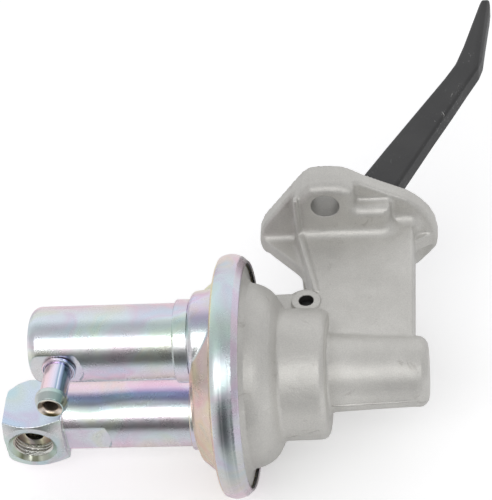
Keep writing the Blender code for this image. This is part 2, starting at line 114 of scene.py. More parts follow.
def poly(x, y, pts):
    """Signed distance to a closed outline, negative inside."""
    best = np.full(x.shape, 1e9, x.dtype)
    inside = np.zeros(x.shape, bool)
    for i in range(len(pts)):
        x0, y0 = pts[i]
        x1, y1 = pts[i - 1]
        ex, ey = x1 - x0, y1 - y0
        l2 = ex * ex + ey * ey
        if l2 < 1e-12:
            continue
        wx, wy = x - x.dtype.type(x0), y - y.dtype.type(y0)
        t = np.clip((wx * ex + wy * ey) * (1.0 / l2), 0, 1).astype(x.dtype)
        bx, by = wx - ex * t, wy - ey * t
        best = np.minimum(best, bx * bx + by * by)
        c = (y >= y0) != (y >= y1)
        if abs(ey) > 1e-12:
            inside ^= c & (wx < wy * (ex / ey))
    d = np.sqrt(best)
    return np.where(inside, -d, d)


def hyp(a, b):
    return np.sqrt(a * a + b * b)


def meet(a, b, r=0.0):
    """Intersection with its edge rounded by r."""
    if r <= 0:
        return np.maximum(a, b)
    return np.minimum(np.maximum(a, b), -r) + hyp(np.maximum(a + r, 0), np.maximum(b + r, 0))


def join(a, b, r=0.0):
    """Union with a fillet of radius r."""
    if r <= 0:
        return np.minimum(a, b)
    return np.maximum(np.minimum(a, b), r) - hyp(np.maximum(r - a, 0), np.maximum(r - b, 0))


def cut(a, b, r=0.0):
    return meet(a, -b, r)


def step(x, a, b):
    t = np.clip((x - a) / (b - a), 0, 1)
    return t * t * (3 - 2 * t)


def field_mesh(name, f, lo, hi, h):
    """A closed mesh of f = 0 between lo and hi, with vertices moved on to the surface."""
    h = h * COARSE
    B = 8
    lo = np.array(lo, float) - h * 0.37
    n = np.ceil((np.array(hi, float) - lo) / h).astype(int)
    n = ((n + B - 1) // B) * B
    nb = n // B
    c = [(lo[i] + (np.arange(nb[i]) + 0.5) * B * h).astype(F) for i in range(3)]
    X, Y, Z = np.meshgrid(*c, indexing="ij")
    d = f(X, Y, Z)
    near = np.abs(d) < B * h * 0.9 + 1.2
    G = np.empty(n + 1, F)
    G[:] = 9.0
    big = np.repeat(np.repeat(np.repeat(d, B, 0), B, 1), B, 2)
    G[:-1, :-1, :-1] = big
    del big
    idx = np.argwhere(near)
    ax = [(lo[i] + np.arange(n[i] + 1) * h).astype(F) for i in range(3)]
    k = np.arange(B + 1)
    for s in range(0, len(idx), 192):
        blk = idx[s:s + 192]
        ii = blk[:, 0, None] * B + k
        jj = blk[:, 1, None] * B + k
        kk = blk[:, 2, None] * B + k
        x = np.broadcast_to(ax[0][ii][:, :, None, None], (len(blk), B + 1, B + 1, B + 1))
        y = np.broadcast_to(ax[1][jj][:, None, :, None], x.shape)
        z = np.broadcast_to(ax[2][kk][:, None, None, :], x.shape)
        v = f(np.ascontiguousarray(x), np.ascontiguousarray(y), np.ascontiguousarray(z))
        for m in range(len(blk)):
            a, b, e = blk[m] * B
            G[a:a + B + 1, b:b + B + 1, e:e + B + 1] = v[m]
    G[G == 0] = 1e-6
    S = G < 0
    N = np.array(G.shape)
    cell = N - 1
    stride = np.array([cell[1] * cell[2], cell[2], 1])
    acc_cells, acc_pos, quads = [], [], []
    for a in range(3):
        sl0 = [slice(None)] * 3
        sl1 = [slice(None)] * 3
        sl0[a] = slice(0, -1)
        sl1[a] = slice(1, None)
        e = np.argwhere(S[tuple(sl0)] != S[tuple(sl1)])
        g0 = G[tuple(e.T)]
        e1 = e.copy()
        e1[:, a] += 1
        g1 = G[tuple(e1.T)]
        t = g0 / (g0 - g1)
        pos = e.astype(float)
        pos[:, a] += t
        u, v = (a + 1) % 3, (a + 2) % 3
        ids = []
        for du, dv in ((0, 0), (-1, 0), (-1, -1), (0, -1)):
            cc = e.copy()
            cc[:, u] += du
            cc[:, v] += dv
            ids.append(cc @ stride)
        ok = (e[:, u] > 0) & (e[:, v] > 0) & (e[:, u] < cell[u]) & (e[:, v] < cell[v])
        q = np.stack(ids, 1)[ok]
        pos, g0 = pos[ok], g0[ok]
        flip = g0 > 0
        q[flip] = q[flip][:, ::-1]
        quads.append(q)
        for col in range(4):
            acc_cells.append(q[:, col])
            acc_pos.append(pos)
    quads = np.concatenate(quads)
    cells = np.concatenate(acc_cells)
    posn = np.concatenate(acc_pos)
    uniq, inv = np.unique(cells, return_inverse=True)
    cnt = np.bincount(inv)
    P = np.stack([np.bincount(inv, posn[:, i]) / cnt for i in range(3)], 1) * h + lo
    lookup = np.searchsorted(uniq, quads.ravel()).reshape(quads.shape)

    def grad(Q, eps=0.04):
        g = np.empty_like(Q)
        for i in range(3):
            A, Bq = Q.copy(), Q.copy()
            A[:, i] += eps
            Bq[:, i] -= eps
            g[:, i] = (f(A[:, 0], A[:, 1], A[:, 2]) - f(Bq[:, 0], Bq[:, 1], Bq[:, 2])) / (2 * eps)
        return g

    Q0 = P.copy()
    for _ in range(2):
        g = grad(P)
        val = f(P[:, 0], P[:, 1], P[:, 2])
        g2 = np.maximum((g * g).sum(1), 0.2)
        P = P - g * (val / g2)[:, None]
    off = P - Q0
    ln = np.linalg.norm(off, axis=1)
    lim = 0.6 * h
    P = Q0 + off * np.minimum(1, lim / np.maximum(ln, 1e-9))[:, None]
    g = grad(P)
    nrm = g / np.maximum(np.linalg.norm(g, axis=1), 1e-9)[:, None]
    W = (P - np.array([27.2, FACE_N, 0.0])) * 0.001
    me = bpy.data.meshes.new(name)
    me.from_pydata(W.tolist(), [], lookup.tolist())
    me.update()
    if me.validate(verbose=False):
        print(name, "mesh repaired")
    me.shade_smooth()
    if len(me.vertices) == len(nrm):
        me.normals_split_custom_set_from_vertices(nrm.tolist())
    ob = bpy.data.objects.new(name, me)
    bpy.context.scene.collection.objects.link(ob)
    print("MESH", name, len(lookup) * 2, "triangles")
    return ob, P, lookup


# ------------------------------------------------------------------ the casting
CAST_PROFILE = rounded(
    [(66.4, -12), (66.4, 13.15, 4.2), (45.0, 14.0), (29.2, 14.8, 1.3), (29.2, 24.45, 3.2), (12.3, 24.7, 2.0)]
    + curve([(11.3, 27.0), (9.7, 30.0), (7.3, 32.3), (4.3, 33.9), (0.9, 34.8)], 2)
    + [(-0.9, 36.4, 1.5), (-1.7, 39.0), (-1.7, 42.1, 0.3), (-3.3, 43.7), (-7.6, 43.7), (-7.6, -12)], 4)
HOLLOW = rounded([(64.0, -12), (64.0, 10.2, 2), (27.2, 10.2), (27.2, 19.4), (14.4, 19.4), (14.4, 5.2), (12.9, 5.2),
                  (12.9, 7.4), (9.4, 7.4), (9.4, 10.4), (7.9, 10.4), (7.9, 20.0, 3), (6.8, 24.2), (4.4, 27.8, 3),
                  (0.6, 29.9), (-3.0, 30.4), (-9.0, 30.4), (-9.0, -12)], 3)
NECK = rounded([(24.4, 6), (60.9, 6), (60.2, 74.0), (15.6, 74.0), (16.2, 63, 5), (24.0, 31, 2)])
WEB = [(7.6, 8), (24.6, 8), (23.0, 32.4), (13.0, 32.6), (7.6, 32.5)]
FLANGE = rounded([(69.6, 0.0, 9), (68.5, 7.4), (66.4, 12.4), (63.3, 16.7, 8), (58.6, 21.0), (50.4, 25.2), (42.2, 29.5),
                  (36.6, 33.2, 6), (33.4, 34.5), (27.4, 35.0), (21.6, 34.6, 2.5), (18.6, 32.4, 2.5), (10.0, 21.2),
                  (1.8, 10.4, 6), (-0.2, 5.6), (-0.7, 1.0, 6), (-0.1, -2.4, 5), (2.4, -5.8), (7.9, -12.2),
                  (12.4, -18.3, 6), (15.0, -24.4), (16.6, -29.6, 4), (19.6, -33.4, 3), (24.0, -35.2, 3),
                  (30.6, -35.2), (34.8, -33.6, 5), (44.0, -28.0), (53.0, -21.6), (60.4, -14.2), (65.2, -9.4, 5),
                  (68.7, -4.8, 4)], 3)
PAD_UP = rounded([(15.2, 4), (52.0, 4), (52.0, 22.2, 1.5), (38.6, 22.2, 2.0), (38.4, 60), (15.2, 60)], 3)
PAD_DN = rounded([(15.2, -4), (15.2, -60), (38.4, -60), (38.6, -21.8, 2.0), (52.0, -21.8, 1.5), (52.0, -4)], 3)
GUSSET = rounded(curve([(1.3, 73), (1.6, 69.4), (7.7, 62.6), (12.6, 57.4), (17.2, 52.2), (19.4, 48.6)], 2)
                 + [(24, 46), (24, 73)])
GUSSET2 = [(59, 64), (61.0, 66.4), (68.2, 71.0), (68.0, 72.2), (59, 72.2)]
RIB = [(15.0, 65.0), (17.2, 65.0), (24.9, 32.2), (23.1, 32.2)]
SLOT = [(14.6, 11.0), (57.0, 12.6), (57.0, 61.0), (44.9, 70.6), (44.9, 82.0), (14.4, 82.0), (14.4, 71.0),
        (18.9, 62.4), (21.9, 52.6), (24.0, 45.0), (24.9, 37.4)] + [
    (PIVOT_P + 6.1 * math.cos(math.radians(a)), PIVOT_N + 6.1 * math.sin(math.radians(a)))
    for a in np.linspace(66, 190, 10)]


def slab_low(d2, n, lo, r):
    """Outline d2 standing on from n = lo upwards, its lower edge rounded by r."""
    return meet(d2, lo - n, r)


def casting(p, n, q):
    aq = np.abs(q)
    r = hyp(n, q)
    turned = poly(p, r, CAST_PROFILE)
    # the die's parting flash along the camera side of both towers, and a trimmed gate on the wide one
    side = np.clip(-n / 8.0, 0, 1)
    flash = np.exp(-((q + 1.7) / 0.42) ** 2) * step(p, 30.5, 31.5) * (1 - step(p, 58.0, 62.0))
    line = (q + 9.6) - (p - 12.5) * 0.42
    flash = flash + np.exp(-(line / 0.42) ** 2) * step(p, 12.0, 13.6) * (1 - step(p, 25.0, 27.0))
    under = (1 - step(q, -2.6, -2.0)) * step(p, 30.5, 31.5) * (1 - step(p, 60.0, 64.0))
    turned = turned - (0.62 * flash - 0.28 * under) * side
    neck = meet(poly(p, n, NECK), aq - NECK_Q, 1.3)
    f2 = poly(p, q, FLANGE)
    plate = slab_low(f2, n, PLATE_N, 1.5)
    pad2 = meet(f2 + 0.1, np.minimum(poly(p, q, PAD_UP), poly(p, q, PAD_DN)), 1.0)
    pad = slab_low(pad2, n, PAD_N, 4.2)
    base = join(plate, pad, 2.0)
    base = join(base, neck, 4.4)
    gus = meet(poly(p, n, GUSSET), aq - 3.0, 0.7)
    base = np.maximum(join(base, gus, 3.4), f2 - 0.02)
    gus2 = meet(poly(p, n, GUSSET2), aq - 3.0, 0.8)
    base = join(base, gus2, 1.2)
    rib = meet(poly(p, n, RIB), aq - 11.9, 0.7)
    ribt = meet(meet(np.abs(p - 16.0) - 1.0, np.abs(n - 64.8) - 1.7, 0.9), np.abs(q - 1.0) - 28.4, 1.0)
    base = join(base, join(rib, ribt, 0.9), 1.1)
    base = np.maximum(base, n - FACE_N)
    eye = hyp(p - PIVOT_P, n - PIVOT_N)
    drum = meet(eye - 8.8, aq - 9.6, 1.0)
    web = meet(poly(p, n, WEB), aq - 10.2, 0.8)
    boss = meet(eye - 5.6, aq - 12.0, 0.45)
    out = join(turned, join(drum, web, 0.3), 0.6)
    out = join(out, base, 0.9)
    out = join(out, boss, 0.35)
    hole = np.maximum(hyp(p - BOLT_P, aq - BOLT_Q) - BOLT_R, 55.0 - n)
    inner = np.minimum(poly(p, r, HOLLOW), np.maximum(poly(p, n, SLOT), aq - SLOT_Q))
    out = cut(out, inner, 0.0)
    out = cut(out, np.minimum(hole, eye - PIN_R - 0.05), 0.35)
    return out


# ------------------------------------------------------------------ the cover with its rolled rim
COVER_OUT = rounded([(0.0, 41.6), (0.0, 42.9, 1.0), (-2.25, 44.85, 0.25)]
                    + [(-6.1 + 7.4 * math.sin(a), 38.38 + 7.4 * math.cos(a)) for a in np.linspace(0.54, -0.54, 13)[1:-1]]
                    + [(-10.1, 44.6, 0.9), (-10.8, 43.0, 1.6), (-10.8, 37.6, 1.0),
                     (-14.6, 34.5, 6), (-18.0, 31.6, 3), (-19.6, 28.0, 3), (-19.6, -12), (-0.0, -12)], 5)
COVER_IN = rounded([(6.0, -12), (6.0, 41.9), (-1.3, 42.1), (-3.1, 43.9), (-9.5, 43.9), (-9.5, 35.8), (-11.6, 35.2),
                    (-14.8, 32.6), (-16.9, 30.6), (-18.1, 28.0), (-18.6, 24.6), (-18.6, -12)], 2)
NECK_IN = rounded([(-8.0, -12), (-8.0, 19.6), (-14.0, 18.75, 6), (-18.7, 18.35, 2.4), (-20.02, 15.85, 0.4), (-20.02, -12)], 6)
NECK_IN_BORE = rounded([(-8.0, -12), (-8.0, 17.9), (-16.2, 17.4), (-17.4, 16.9), (-18.6, 15.0), (-27.0, 15.0),
                        (-27.0, -12)])
NECK_OUT = rounded([(-8.0, -12), (-8.0, 15.8), (-19.0, 15.2, 2), (-20.6, 14.5, 1), (-24.2, 14.45, 0.5), (-24.2, -12)])
NECK_OUT_BORE = rounded([(-8.0, -12), (-8.0, 14.2), (-18.8, 14.0), (-20.2, 13.4), (-27.0, 13.4), (-27.0, -12)])


def cover(p, n, q):
    r = hyp(n, q)
    ri = hyp(n, q - NECK_SEP)
    ro = hyp(n, q + NECK_SEP)
    out = poly(p, r, COVER_OUT)
    out = join(out, poly(p, ri, NECK_IN), 0.35)
    out = join(out, poly(p, ro, NECK_OUT), 0.35)
    inner = np.minimum(np.minimum(poly(p, r, COVER_IN), poly(p, ri, NECK_IN_BORE)), poly(p, ro, NECK_OUT_BORE))
    return cut(out, inner, 0.25)


# ------------------------------------------------------------------ the inlet canister
CAN_OUT = rounded([(-18.0, -12), (-18.0, 14.7), (-20.1, 14.7), (-20.1, 15.5, 0.3), (-25.45, 15.5, 0.7),
                   (-25.55, CAN_R, 0.15), (CAN_END, CAN_R, 4.4), (CAN_END, -12)], 6)
CAN_IN = rounded([(-15.0, -12), (-15.0, 12.9), (CAN_END + 1.2, 12.9, 3.4), (CAN_END + 1.2, -12)], 4)
FLAT_N = -12.4


def canister(p, n, q):
    z = q - NECK_SEP
    r = hyp(n, z)
    flat2 = np.minimum(hyp(p + 68.8, z) - 9.4, np.maximum(p + 68.8, np.abs(z) - 9.4))
    out = cut(poly(p, r, CAN_OUT), np.maximum(flat2, n - FLAT_N), 0.2)
    inner = np.maximum(poly(p, r, CAN_IN), -(n - (FLAT_N + 1.2)) - 50 * (p > -58.0))
    hole = np.maximum(hyp(p - BARB_P, z) - 4.3, n + 8.0)
    return cut(cut(out, inner, 0.0), hole, 0.2)


# ------------------------------------------------------------------ the outlet fitting
def fitting(p, n, q):
    z = q + NECK_SEP
    r = hyp(n, z)
    p0, p1, n0, n1, q0, q1 = BLOCK
    bar = meet(meet(r - BAR_R, p + 19.2, 0.4), -74.0 - p, 0.0)
    n, z = n * math.cos(PORT_TURN) + z * math.sin(PORT_TURN), z * math.cos(PORT_TURN) - n * math.sin(PORT_TURN)
    end = poly(p, n, SQUARE)
    blk = meet(end, np.maximum(q0 + NECK_SEP - z, z - q1 - NECK_SEP), 0.45)
    rp = hyp(p - PORT_P, z)
    cone = ((n0 + (rp - 11.6) * 0.66) - n) * 0.835
    blk = meet(blk, cone, 0.14)
    flat2 = np.minimum(hyp(p + 64.6, z) - 9.6, np.maximum(p + 64.6, np.abs(z) - 9.6))
    bar = cut(bar, np.maximum(flat2, n + 11.5), 0.35)
    out = join(bar, blk, 0.3)
    depth = n - n0
    bore = np.maximum(rp - 9.2, depth - PORT_DEEP - 0.8)
    hole = np.maximum(rp - 3.9, n - 2.0)
    port = np.minimum(bore, hole)
    way = np.maximum(np.minimum(r - 4.6, np.maximum(r - 8.2, -26.0 - p)), -84.0 - p)
    out = cut(out, np.minimum(port, way), 0.12)
    return out


SQUARE = rounded([(BLOCK[0], BLOCK[2]), (BLOCK[1], BLOCK[2]), (BLOCK[1], BLOCK[3] - 3.0, 1),
                  (BLOCK[1] - 4.0, BLOCK[3], 1), (BLOCK[0] + 8.4, BLOCK[3], 2.5), (BLOCK[0] + 4.4, 6.5, 3),
                  (BLOCK[0] + 0.7, 3.1, 1.2), (BLOCK[0] + 0.2, 0.0)], 4)
PORT_DEEP = 7.3


# ------------------------------------------------------------------ the rocker arm
ARM = rounded(
    [(22.9, -1.4), (22.9, 8.0, 2), (24.4, 13.2, 2), (27.4, 14.4, 1), (27.4, 24.6, 2), (30.6, 28.4, 2), (35.4, 38.0, 8),
     (38.4, 50.0, 8), (41.0, 62.0, 10), (44.3, 77.0, 10), (56.2, 104.0), (67.3, 128.5), (75.5, 146.0), (81.5, 159.3),
     (86.6, 170.2, 7), (88.2, 176.0, 8), (89.4, 188.0, 10), (91.4, 206.0, 10), (91.9, 212.6, 2), (91.6, 215.7, 0.9),
     (88.2, 215.7, 0.9), (87.3, 213.0, 2), (83.0, 195.8, 10), (80.1, 184.2, 15), (76.7, 172.8, 20), (72.2, 163.8, 20),
     (62.2, 145.9, 20), (47.7, 119.9), (39.8, 105.4), (31.8, 91.0), (24.4, 77.2, 4), (25.6, 62.0, 8), (26.8, 52.0),
     (28.2, 44.0, 4), (28.0, 37.4, 3), (24.4, 31.9, 1)]
    + [(PIVOT_P + 5.2 * math.cos(math.radians(a)), PIVOT_N + 5.2 * math.sin(math.radians(a)))
       for a in np.linspace(56, 180, 9)]
    + [(15.6, 20.0, 2), (17.9, 7.0, 3), (18.2, -4.4, 1), (22.0, -4.4, 1)], 3)
FORK = [(18.0, -4.3), (21.9, -4.3), (22.8, -1.4), (22.8, 9.0), (18.0, 9.0)]


def arm(p, n, q):
    aq = np.abs(q)
    eye = hyp(p - PIVOT_P, n - PIVOT_N)
    body = meet(poly(p, n, ARM), aq - 4.1, 1.3)
    fork = meet(poly(p, n, FORK), aq - 6.2, 0.5)
    ring = meet(eye - 5.15, aq - 6.2, 0.4)
    out = join(join(body, fork, 0.8), ring, 0.6)
    slot = np.maximum(np.maximum(aq - 3.1, n - 3.2), -20.0 - n)
    out = cut(out, np.maximum(slot, p - 30.0), 0.2)
    return cut(out, eye - 3.0, 0.3)


# ------------------------------------------------------------------ turned pieces
def lathe(name, prof, at, axis, steps=96):
    """A turned piece from a closed outline of (height, radius) in mm, about an axis through at."""
    bm = bmesh.new()
    m = len(prof)
    rings = []
    for k in range(steps):
        a = 2 * math.pi * k / steps
        ring = []
        for h, r in prof:
            u, v = r * math.cos(a), r * math.sin(a)
            c = {"P": (at[0] * 0 + h, at[1] + u, at[2] + v), "N": (at[0] + v, h, at[2] + u),
                 "Q": (at[0] + u, at[1] + v, h)}[axis]
            ring.append(bm.verts.new(((c[0] - 27.2) / 1000, (c[1] - FACE_N) / 1000, c[2] / 1000)))
        rings.append(ring)
    for k in range(steps):
        a, b = rings[k], rings[(k + 1) % steps]
        for i in range(m):
            j = (i + 1) % m
            bm.faces.new((a[i], a[j], b[j], b[i]))
    bmesh.ops.remove_doubles(bm, verts=bm.verts, dist=0.000001)
    bmesh.ops.recalc_face_normals(bm, faces=bm.faces)
    me = bpy.data.meshes.new(name)
    bm.to_mesh(me)
    bm.free()
    me.shade_smooth()
    me.set_sharp_from_angle(angle=math.radians(50))
    ob = bpy.data.objects.new(name, me)
    bpy.context.scene.collection.objects.link(ob)
    return ob


BARB = rounded([(-9.6, 2.6), (-9.6, 4.0), (-12.7, 4.0), (-12.7, 6.3), (-13.7, 6.3, 0.35), (-13.9, 5.7, 0.2),
                (-13.3, 5.45, 0.2), (-13.4, 5.1, 0.2), (-15.5, 5.1, 2), (-26.4, 5.0, 0.2), (-26.6, 4.7, 0.1),
                (-26.9, 4.7, 0.1), (-27.0, 6.1, 0.3), (-28.9, 6.15, 0.8), (-31.7, 5.0, 0.25)]
               + [(-29.95 - 1.85 * math.cos(a), 4.55 - 1.85 * math.sin(a)) for a in np.linspace(0.0, math.pi / 2, 9)]
               + [(-28.0, 2.66), (-12.0, 2.62), (-10.4, 2.6)], 4)
PIN = rounded([(9.2, 0.01), (9.2, PIN_R - 0.05, 0.6), (-9.2, PIN_R - 0.05, 0.6), (-9.2, 0.01)], 4)


def port_thread(name, steps=192):
    """The outlet port's inside: mouth chamfer, helical thread, raised seat and hole, as a closed sleeve."""
    pitch, per, turns = 1.41, 20, 3.15
    # one pitch of the thread: a narrow crest between wide, dark groove flanks
    tooth = [0.95 * (1 - math.exp(-((k / per - 0.5) / 0.20) ** 2)) for k in range(per)]
    count = int(turns * per)
    prof = [(0.0, 9.26), (0.0, 9.15), (1.5, 7.7)]
    prof += [(1.6 + pitch * k / per, None) for k in range(count + 1)]
    prof += [(6.1, 7.0), (6.15, 6.85), (6.1, 5.2), (6.0, 3.8), (6.2, 3.55), (13.0, 3.55), (13.0, 4.2), (7.9, 4.2),
             (7.9, 9.26)]
    bm = bmesh.new()
    rings = []
    for i in range(steps):
        a = 2 * math.pi * i / steps
        ring = []
        for j, (d, r) in enumerate(prof):
            if r is None:
                k = (j - 3) + per * i / steps
                lo = int(k) % per
                r = 7.05 + tooth[lo] + (tooth[(lo + 1) % per] - tooth[lo]) * (k - int(k))
            y, z = BLOCK[2] + 0.02 + d, r * math.sin(a)
            y, z = (y * math.cos(PORT_TURN) - z * math.sin(PORT_TURN), y * math.sin(PORT_TURN) + z * math.cos(PORT_TURN))
            ring.append(bm.verts.new(((PORT_P + r * math.cos(a) - 27.2) / 1000, (y - FACE_N) / 1000,
                                      (z - NECK_SEP) / 1000)))
        rings.append(ring)
    m = len(prof)
    for i in range(steps):
        a, b = rings[i], rings[(i + 1) % steps]
        for j in range(m):
            f = bm.faces.new((a[j], a[(j + 1) % m], b[(j + 1) % m], b[j]))
            f.material_index = 1 if m - 9 <= j < m - 5 else 2 if j < 2 else 0
    bmesh.ops.recalc_face_normals(bm, faces=bm.faces)
    me = bpy.data.meshes.new(name)
    bm.to_mesh(me)
    bm.free()
    me.shade_smooth()
    me.set_sharp_from_angle(angle=math.radians(38))
    ob = bpy.data.objects.new(name, me)
    bpy.context.scene.collection.objects.link(ob)
    return ob


# ------------------------------------------------------------------ materials
def material(name):
    m = bpy.data.materials.new(name)
    m.use_nodes = True
    nt = m.node_tree
    return m, nt, nt.nodes["Principled BSDF"]


def node(nt, kind, **kw):
    x = nt.nodes.new(kind)
    for k, v in kw.items():
        if hasattr(x, k):
            setattr(x, k, v)
        else:
            x.inputs[k].default_value = v
    return x


def ramp(nt, src, stops, interp="LINEAR"):
    r = nt.nodes.new("ShaderNodeValToRGB")
    r.color_ramp.interpolation = interp
    el = r.color_ramp.elements
    while len(el) < len(stops):
        el.new(0.5)
    for e, (x, c) in zip(el, sorted(stops, key=lambda s: s[0])):
        e.position = x
        e.color = (*c, 1.0) if len(c) == 3 else c
    nt.links.new(src, r.inputs["Fac"])
    return r


def noise(nt, scale, detail=3.0, rough=0.55, vec=None, dist=0.0):
    n = nt.nodes.new("ShaderNodeTexNoise")
    n.inputs["Scale"].default_value = scale
    n.inputs["Detail"].default_value = detail
    n.inputs["Roughness"].default_value = rough
    n.inputs["Distortion"].default_value = dist
    if vec is None:
        vec = nt.nodes.new("ShaderNodeTexCoord").outputs["Object"]
    nt.links.new(vec, n.inputs["Vector"])
    return n


def math_(nt, op, a, b=None, clamp=False):
    m = nt.nodes.new("ShaderNodeMath")
    m.operation = op
    m.use_clamp = clamp
    for i, v in enumerate((a, b)):
        if v is None:
            continue
        if isinstance(v, (int, float)):
            m.inputs[i].default_value = v
        else:
            nt.links.new(v, m.inputs[i])
    return m.outputs[0]


def mixc(nt, fac, a, b, mode="MIX"):
    m = nt.nodes.new("ShaderNodeMix")
    m.data_type = "RGBA"
    m.blend_type = mode
    for key, v in (("Factor", fac), ("A", a), ("B", b)):
        s = [i for i in m.inputs if i.name == key and (i.type == "RGBA" or key == "Factor" and i.type == "VALUE")][0]
        if isinstance(v, tuple):
            s.default_value = (*v, 1.0)
        elif isinstance(v, (int, float)):
            s.default_value = v
        else:
            nt.links.new(v, s)
    return [o for o in m.outputs if o.type == "RGBA"][0]


def bump(nt, bsdf, height, strength, dist):
    b = nt.nodes.new("ShaderNodeBump")
    b.inputs["Strength"].default_value = strength
    b.inputs["Distance"].default_value = dist
    nt.links.new(height, b.inputs["Height"])
    nt.links.new(b.outputs["Normal"], bsdf.inputs["Normal"])
    return b


def cast_material():
    m, nt, b = material("cast_alloy_blasted")
    big = noise(nt, 42, 4, 0.6)
    fine = noise(nt, 2300, 2, 0.6)
    mid = noise(nt, 420, 3, 0.6)
    base = ramp(nt, big.outputs["Fac"], [(0.30, (0.52, 0.51, 0.485)), (0.55, (0.58, 0.57, 0.54)),
                                         (0.75, (0.64, 0.63, 0.60))])
    grain = ramp(nt, fine.outputs["Fac"], [(0.30, (0.92, 0.92, 0.92)), (0.5, (1.0, 1.0, 1.0)), (0.72, (1.09, 1.09, 1.085))])
    col = mixc(nt, 1.0, base.outputs["Color"], grain.outputs["Color"], "MULTIPLY")
    # small dark smudges, mostly on the spring tower
    sm = noise(nt, 115, 4, 0.7, dist=0.8)
    smr = ramp(nt, sm.outputs["Fac"], [(0.62, (1, 1, 1)), (0.72, (0.80, 0.79, 0.78))])
    col = mixc(nt, 1.0, col, smr.outputs["Color"], "MULTIPLY")
    # painted light: the skin is made paler where it turns down to the front of the bell and towers
    t, _ = elevation(nt)
    painted_low_light = ramp(nt, t, turn([(-60, (1.05,) * 3), (0, (1.16,) * 3), (24, (1.20,) * 3), (44, (1.04,) * 3), (60, (1.0,) * 3)]))
    place = nt.nodes.new("ShaderNodeSeparateXYZ")
    nt.links.new(nt.nodes.new("ShaderNodeTexCoord").outputs["Object"], place.inputs[0])
    body = ramp(nt, math_(nt, "MULTIPLY", place.outputs["Y"], -10.0), [(0.36, (0, 0, 0)), (0.48, (1, 1, 1))])
    col = mixc(nt, 1.0, col, mixc(nt, body.outputs["Color"], (1.0, 1.0, 1.0), painted_low_light.outputs["Color"]), "MULTIPLY")
    # painted shade: the pin's recess is painted near-black, and the bolt holes are painted darker than the blasted
    # skin, with a darker ring at their edge
    tc = nt.nodes.new("ShaderNodeTexCoord")
    for at, keep, stops in (
            (((PIVOT_P - 27.2) / 1000, (PIVOT_N - FACE_N) / 1000, 0.0), (1.0, 1.0, 0.0),
             [(0.0, (0.06, 0.06, 0.06)), (0.278, (0.07, 0.07, 0.07)), (0.300, (1, 1, 1))]),
            ((0.0, 0.0, BOLT_Q / 1000), (1.0, 0.0, 1.0),
             [(0.0, (0.86, 0.86, 0.86)), (0.525, (0.86, 0.86, 0.86)), (0.545, (0.62, 0.62, 0.62)), (0.565, (1, 1, 1))])):
        mp = nt.nodes.new("ShaderNodeMapping")
        mp.inputs["Location"].default_value = tuple(-a * k for a, k in zip(at, keep))
        mp.inputs["Scale"].default_value = keep
        nt.links.new(tc.outputs["Object"], mp.inputs["Vector"])
        ln = nt.nodes.new("ShaderNodeVectorMath")
        ln.operation = "LENGTH"
        nt.links.new(mp.outputs["Vector"], ln.inputs[0])
        k = ramp(nt, math_(nt, "MULTIPLY", ln.outputs["Value"], 100.0), stops)
        if at[2]:
            near = nt.nodes.new("ShaderNodeSeparateXYZ")
            nt.links.new(tc.outputs["Object"], near.inputs[0])
            deep = ramp(nt, math_(nt, "MULTIPLY", near.outputs["Y"], -10.0), [(0.145, (0, 0, 0)), (0.20, (0, 0, 0)), (0.24, (1, 1, 1))])
            col = mixc(nt, 1.0, col, mixc(nt, deep.outputs["Color"], k.outputs["Color"], (1.0, 1.0, 1.0)), "MULTIPLY")
        else:
            col = mixc(nt, 1.0, col, k.outputs["Color"], "MULTIPLY")
    nt.links.new(col, b.inputs["Base Color"])
    b.inputs["Metallic"].default_value = 0.45
    rr = ramp(nt, mid.outputs["Fac"], [(0.3, (0.38, 0.38, 0.38)), (0.7, (0.47, 0.47, 0.47))])
    nt.links.new(rr.outputs["Color"], b.inputs["Roughness"])
    h = math_(nt, "ADD", math_(nt, "MULTIPLY", fine.outputs["Fac"], 0.6), math_(nt, "MULTIPLY", mid.outputs["Fac"], 0.8))
    bump(nt, b, h, 0.66, 0.00025)
    return m


def elevation(nt, warp=0.0):
    """0..1 over the turn of the surface normal about the pump axis: 0.5 faces up, 0.25 faces -N."""
    tc = nt.nodes.new("ShaderNodeTexCoord")
    sep = nt.nodes.new("ShaderNodeSeparateXYZ")
    nt.links.new(tc.outputs["Normal"], sep.inputs[0])
    a = math_(nt, "ARCTAN2", sep.outputs["Z"], math_(nt, "MULTIPLY", sep.outputs["Y"], -1.0))
    t = math_(nt, "ADD", math_(nt, "DIVIDE", a, 2 * math.pi), 0.25)
    if warp:
        w = noise(nt, 30, 2, 0.5)
        t = math_(nt, "ADD", t, math_(nt, "MULTIPLY", math_(nt, "SUBTRACT", w.outputs["Fac"], 0.5), warp))
    return math_(nt, "FRACT", t), sep


def turn(stops):
    """Colour stops given at the surface's turn in degrees (0 faces -N, 90 faces +Q) as ramp stops."""
    return sorted((((0.25 + e / 360) % 1.0), c) for e, c in stops)


def mixval(nt, rgb):
    v = nt.nodes.new("ShaderNodeRGB")
    v.outputs[0].default_value = (*rgb, 1.0)
    return v.outputs[0]


